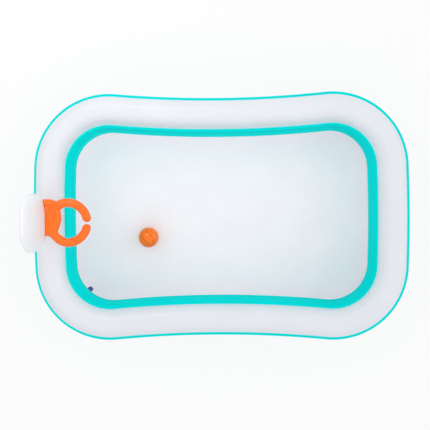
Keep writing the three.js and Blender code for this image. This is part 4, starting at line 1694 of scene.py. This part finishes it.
@dataclass
class AirValve:
    """Air valve: welded flange, push-in tube with its collar, and captive plug."""

    name: str
    carrier: str  # the body that its flange is welded to
    flange_radius: float = 16 * MM
    hole: float = 7.5 * MM  # radius of the flange's hole
    tube_radius: float = 5.5 * MM  # outer radius of the tube
    bore: float = 3.5 * MM  # inner radius of the tube
    tube_out: float = 9 * MM  # how far the tube stands out
    tube_in: float = 16 * MM  # how far it goes in
    collar_radius: float = 7.2 * MM  # radius of the tube's collar
    collar_depth: float = 5.8 * MM  # how deep the collar's top is

    def seat(self, frame: dict) -> Seat:
        """Finds the valve's seat from its CAD nodes and its joint.

        The base is round, so the middle of its span in any direction across the axis is
        on the axis. The strap points at the plug's farthest corner.

        Args:
            frame: The loaded frame.

        Returns:
            The seat.
        """
        joint = f"{self.name}_stem_pull"
        out = unit(next(np.array(j["axis"], float) for j in frame["joints"] if j["name"] == joint))
        first = unit(np.cross(out, np.eye(3)[np.argmin(np.abs(out))]))
        second = np.cross(out, first)
        ring = read_points(f"{self.name}_valve_base", frame)
        centre = ((ring @ out).min() - SEAT_GAP) * out
        for way in (first, second):
            span = ring @ way
            centre = centre + (span.min() + span.max()) / 2 * way
        away = read_points(f"{self.name}_valve_plug", frame) - centre
        away -= np.multiply.outer(away @ out, out)
        reach = np.linalg.norm(away, axis=1)
        return Seat(centre, out, unit(away[reach > reach.max() - 0.5 * MM].mean(0)))

    def build(self, frame: dict, shop: Workshop) -> None:
        """Makes the valve's three pieces.

        Args:
            frame: The loaded frame.
            shop: What finishes and seats the pieces.
        """
        seat = self.seat(frame)
        foot, top, lip = SEAT_GAP, SEAT_GAP + 0.8 * MM, 2.2 * MM
        edge, tube, collar = self.flange_radius, self.tube_radius, self.collar_radius
        corners = (
            (self.hole, foot),
            (edge, foot),
            (edge, foot + 0.5 * MM),
            (edge - 3.2 * MM, top),
            (self.hole + 2.6 * MM, top),
            (self.hole + 1.6 * MM, lip),
            (self.hole, lip),
        )
        bead_foot, bead_top = top - 0.2 * MM, top + 0.35 * MM
        bead = rounded_box(edge - 5.4 * MM, edge - 4.4 * MM, bead_foot, bead_top, 0.3 * MM)
        profiles = rounded_profile(corners, 0.4 * MM), bead
        flange = [lathe(profile, 96, seat) for profile in profiles]
        corners = (
            (self.bore, -self.tube_in),
            (tube, -self.tube_in),
            (tube, -self.collar_depth - 1 * MM),
            (collar, -self.collar_depth - 1 * MM),
            (collar, -self.collar_depth),
            (tube, -self.collar_depth),
            (tube, self.tube_out),
            (self.bore, self.tube_out),
        )
        stem = [lathe(rounded_profile(corners, 0.35 * MM), 72, seat)]
        plug = Plug(
            stopper_radius=self.bore - 0.3 * MM,
            stopper_foot=3 * MM,
            head_radius=6.5 * MM,
            head_foot=self.tube_out + 0.02 * MM,
            head_top=11.2 * MM,
            neck_radius=self.tube_radius,
            loop_foot=2.5 * MM,
        )
        parts = (
            ("flange", flange, self.carrier, "base"),
            ("tube", stem, f"{self.name}_stem", "stem"),
            ("cap", plug.surfaces(seat), f"{self.name}_plug", "plug"),
        )
        for part, surfaces, body, node in parts:
            piece = make_piece(f"{self.name}_valve_{part}", surfaces)
            shop.settle(piece, body, f"{self.name}_valve_{node}", "valve_vinyl")


@dataclass
class Drain:
    """Drain of the floor: welded collar and its captive plug with a finger tab."""

    x: float = -0.932
    y: float = -0.514
    bore: float = 8.5 * MM
    collar_radius: float = 18 * MM
    boss_top: float = 6.4 * MM

    def seat(self) -> Seat:
        """Returns the drain's place on the ground."""
        x_way, _, up = np.eye(3)
        return Seat(np.array([self.x, self.y, 0.0]), up, x_way)

    def build(self, shop: Workshop) -> None:
        """Makes the collar and the plug.

        Args:
            shop: What finishes and seats the pieces.
        """
        seat = self.seat()
        shoulder = 1.6 * MM
        corners = (
            (self.bore, SHEET),
            (self.collar_radius, SHEET),
            (self.collar_radius, SHEET + 0.7 * MM),
            (16 * MM, shoulder),
            (13 * MM, shoulder),
            (12.4 * MM, self.boss_top),
            (self.bore, self.boss_top),
        )
        collar = make_piece("drain_collar", [lathe(rounded_profile(corners, 0.5 * MM), 96, seat)])
        shop.settle(collar, "pool", "drain_flange", "drain_flange_vinyl")
        plug = Plug(
            stopper_radius=self.bore - 0.3 * MM,
            stopper_foot=SHEET,
            head_radius=11.5 * MM,
            head_foot=self.boss_top + 0.02 * MM,
            head_top=8.8 * MM,
            neck_radius=13 * MM,
            loop_foot=1.9 * MM,
        )
        stopper = make_piece("drain_cap", [*plug.surfaces(seat), self.tab(seat)])
        shop.settle(stopper, "drain_stopper", "drain_plug", "drain_plug_vinyl")

    @staticmethod
    def tab(seat: Seat) -> Surface:
        """Makes the finger tab: a rounded slab that swells a little at half its height.

        At a share t of the way up its half width is w sqrt(1 - t^6), and its half depth
        is (d + swell sin^2(pi t)) sqrt(1 - t^10).

        Args:
            seat: The plug's seat.

        Returns:
            The closed surface.
        """
        foot, rise, half_width, half_depth, swelling = 6.9, 8.9, 4.5, 1.0, 0.2  # in mm
        sides = 40
        t = np.linspace(0, 1, 25)[:, None]
        height = (foot + rise * np.sin(t * math.pi / 2)) * MM
        width = half_width * MM * np.sqrt(np.clip(1 - t**6, 0, 1))
        depth = (half_depth + swelling * np.sin(math.pi * t) ** 2) * MM
        depth = depth * np.sqrt(np.clip(1 - t**10, 0, 1))
        round_x, round_y = squircle(sides, 0.5)
        rows = np.stack([width * round_x, depth * round_y, height + 0 * round_x], -1)
        pole = np.zeros((1, sides, 3))
        pole[..., 2] = height[0]
        core = seat.place(np.array([0.0, 0.0, height.mean()]))
        return capped(seat.place(np.concatenate([pole, rows])), core)


# Studio


def face_middle(source: Vector) -> Matrix:
    """Returns the turn that points an object's -Z axis from a source to the middle."""
    return source.to_track_quat("Z", "Y").to_matrix().to_4x4()


@dataclass(frozen=True)
class Lamp:
    """A soft light far away: its strength, its width in degrees and where it comes from."""

    name: str
    strength: float
    spread: float
    azimuth: float
    elevation: float
    shadow: bool = True

    def place(self) -> None:
        """Adds the lamp, whose -Z axis is the way its light goes."""
        sun = bpy.data.lights.new(self.name, "SUN")
        sun.energy = self.strength
        sun.use_shadow = self.shadow
        sun.angle = math.radians(self.spread)
        lamp = bpy.data.objects.new(self.name, sun)
        turn, rise = math.radians(self.azimuth), math.radians(self.elevation)
        level = math.cos(rise)
        source = Vector((math.cos(turn) * level, math.sin(turn) * level, math.sin(rise)))
        lamp.matrix_world = face_middle(source)
        bpy.context.scene.collection.objects.link(lamp)


@dataclass(frozen=True)
class Softbox:
    """A square lamp at a place in the studio, turned to the middle of the pool."""

    name: str
    power: float
    size: float
    position: tuple[float, float, float]
    shadow: bool = True

    def place(self) -> None:
        """Adds the lamp, which the camera doesn't see."""
        area = bpy.data.lights.new(self.name, "AREA")
        area.energy = self.power
        area.use_shadow = self.shadow
        area.size = self.size
        lamp = bpy.data.objects.new(self.name, area)
        source = Vector(self.position)
        lamp.matrix_world = Matrix.Translation(source) @ face_middle(source)
        lamp.visible_camera = False
        bpy.context.scene.collection.objects.link(lamp)


@dataclass(frozen=True)
class Studio:
    """Soft studio light and the camera, straight above the pool and nearly over it."""

    position: tuple[float, float, float] = (0.15729, 0.129919, 5.7)
    target: tuple[float, float, float] = (-0.035162, 0.011041, 0.3)
    roll: float = -0.0072
    lens: float = 67.918
    sensor: float = 36.0
    dome: float = 0.45
    ground_side: float = 60.0
    ground_points: int = 9
    lamps: tuple[Lamp | Softbox, ...] = (
        Lamp("fill", 1.18, 165.0, 0.0, 90.0, shadow=False),
        Lamp("end", 0.5, 50.0, 0.0, 25.0, shadow=False),
        Lamp("near_side", 0.25, 50.0, 270.0, 20.0, shadow=False),
        Lamp("key", 0.12, 24.0, 152.0, 44.0),
        Softbox("softbox", 31.0, 0.9, (-1.2, 2.3, 3.4), shadow=False),
    )

    def camera(self) -> None:
        """Adds the camera: its axes are the look direction with the roll about it."""
        data = bpy.data.cameras.new("camera")
        data.sensor_width = self.sensor
        data.lens = self.lens
        camera = bpy.data.objects.new("camera", data)
        place, aim = Vector(self.position), Vector(self.target)
        look = (aim - place).normalized()
        right = look.cross(Vector((0, 1, 0))).normalized()
        up = right.cross(look)
        c, s = math.cos(self.roll), math.sin(self.roll)
        right, up = c * right + s * up, -s * right + c * up
        axes = Matrix((right, up, -look)).transposed().to_4x4()
        camera.matrix_world = Matrix.Translation(place) @ axes
        bpy.context.scene.collection.objects.link(camera)
        bpy.context.scene.camera = camera

    def light(self) -> None:
        """Adds the pale dome, which is plain white where it is seen, and the soft lamps."""
        world = bpy.data.worlds.new("dome")
        graph = NodeGraph(world, "ShaderNodeOutputWorld", "ShaderNodeBackground")
        path = graph.add("ShaderNodeLightPath").outputs
        seen = graph.maths("MAXIMUM", path["Is Camera Ray"], path["Is Transmission Ray"])
        strength = graph.remap(seen, self.dome, 1.0)
        graph.feed(graph.shader, {"Color": (1.0, 1.0, 1.0, 1.0), "Strength": strength})
        bpy.context.scene.world = world
        for lamp in self.lamps:
            lamp.place()

    def floor(self) -> None:
        """Adds the plain floor."""
        line = np.linspace(-self.ground_side / 2, self.ground_side / 2, self.ground_points)
        x, y = np.meshgrid(line, line, indexing="ij")
        surface = Surface(np.stack([x, y, np.zeros_like(x)], -1), np.array([0.0, 0.0, -1.0]))
        ground = make_piece("ground", [surface])
        ground.data.materials.append(Ground().material())


# The whole pool


@dataclass
class Workshop:
    """Finishes pieces and seats them on their bodies."""

    finishes: dict[str, bpy.types.Material]
    count: int = 0

    def settle(
        self, piece: Piece, body: str, node: str, slot: str, finish: str | None = None
    ) -> None:
        """Gives a piece its material and its body, and hides the CAD node that it stands for.

        Args:
            piece: The finished piece.
            body: The body that it rides on.
            node: The CAD node that it stands for.
            slot: The record's slot of its finish.
            finish: The name of its material, where that isn't the slot's.
        """
        piece.data.materials.append(self.finishes[finish or slot])
        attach(piece, body)
        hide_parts(node)
        self.count += 1
        LOG.info("%s: %d points, on %s", piece.name, len(piece.data.vertices), body)


def build_pool(frame: dict, shop: Workshop) -> None:
    """Makes all the pieces and seats them on their bodies.

    Args:
        frame: The loaded frame.
        shop: What finishes and seats the pieces.
    """
    carriers = {
        "bottom_ring": "pool",
        "top_ring": "pool",
        "backboard": "backboard",
        "hoop": "backboard",
        "ball": "ball",
    }
    valves = [AirValve(name, carrier) for name, carrier in carriers.items()]
    seats = {valve.name: valve.seat(frame) for valve in valves}
    path, drain, board, ball = RingPath(), Drain(), Backboard(), Ball()
    hoop = Hoop(board)
    PoolRings(path).build(shop, {name: seats[name] for name in ("bottom_ring", "top_ring")})
    ball_middle = sum(box_corners("ball_plain_half_skin")) / 2
    floor = FloorSheet(path).build(drain.seat().centre, ball_middle)
    shop.settle(floor, "pool", "floor_sheet", "white_vinyl", "floor_vinyl_sheet")
    board_skins = (("front", 1.0, 21, []), ("back", -1.0, 22, [seats["backboard"]]))
    for name, side, seed, valve in board_skins:
        skin = board.skin(f"backboard_{name}", side, seed, valve)
        shop.settle(skin, "backboard", f"backboard_{name}_skin", "white_vinyl", "board_vinyl")
    fin, saddle, patch = "backboard_foot_fin", "backboard_saddle_patch", "hoop_weld_patch"
    shop.settle(board.fin(*box_corners(fin)), "backboard", fin, "white_vinyl")
    shop.settle(board.saddle(*box_corners(saddle)), "pool", saddle, "white_vinyl")
    for name, side, valve in (("upper", 1.0, []), ("lower", -1.0, [seats["hoop"]])):
        skin = hoop.skin(f"hoop_{name}", side, valve)
        shop.settle(skin, "backboard", f"hoop_{name}_skin", "hoop_vinyl")
    shop.settle(hoop.patch(*box_corners(patch)), "backboard", patch, "hoop_vinyl")
    for name, side in (("valve", 1.0), ("plain", -1.0)):
        half = ball.half(f"ball_{name}_half", seats["ball"], SHEET + SEAT_GAP, side)
        shop.settle(half, "ball", f"ball_{name}_half_skin", "ball_vinyl")
    for valve in valves:
        valve.build(frame, shop)
    drain.build(shop)
    LOG.info("%d pieces", shop.count)


def main() -> None:
    """Builds the studio and the pool over the loaded frame."""
    logging.basicConfig(level=logging.INFO, format="%(name)s: %(message)s")
    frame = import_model()
    bpy.context.scene.view_settings.view_transform = "Standard"
    studio = Studio()
    studio.camera()
    studio.light()
    studio.floor()
    build_pool(frame, Workshop(make_finishes()))


if __name__ == "__main__":
    main()
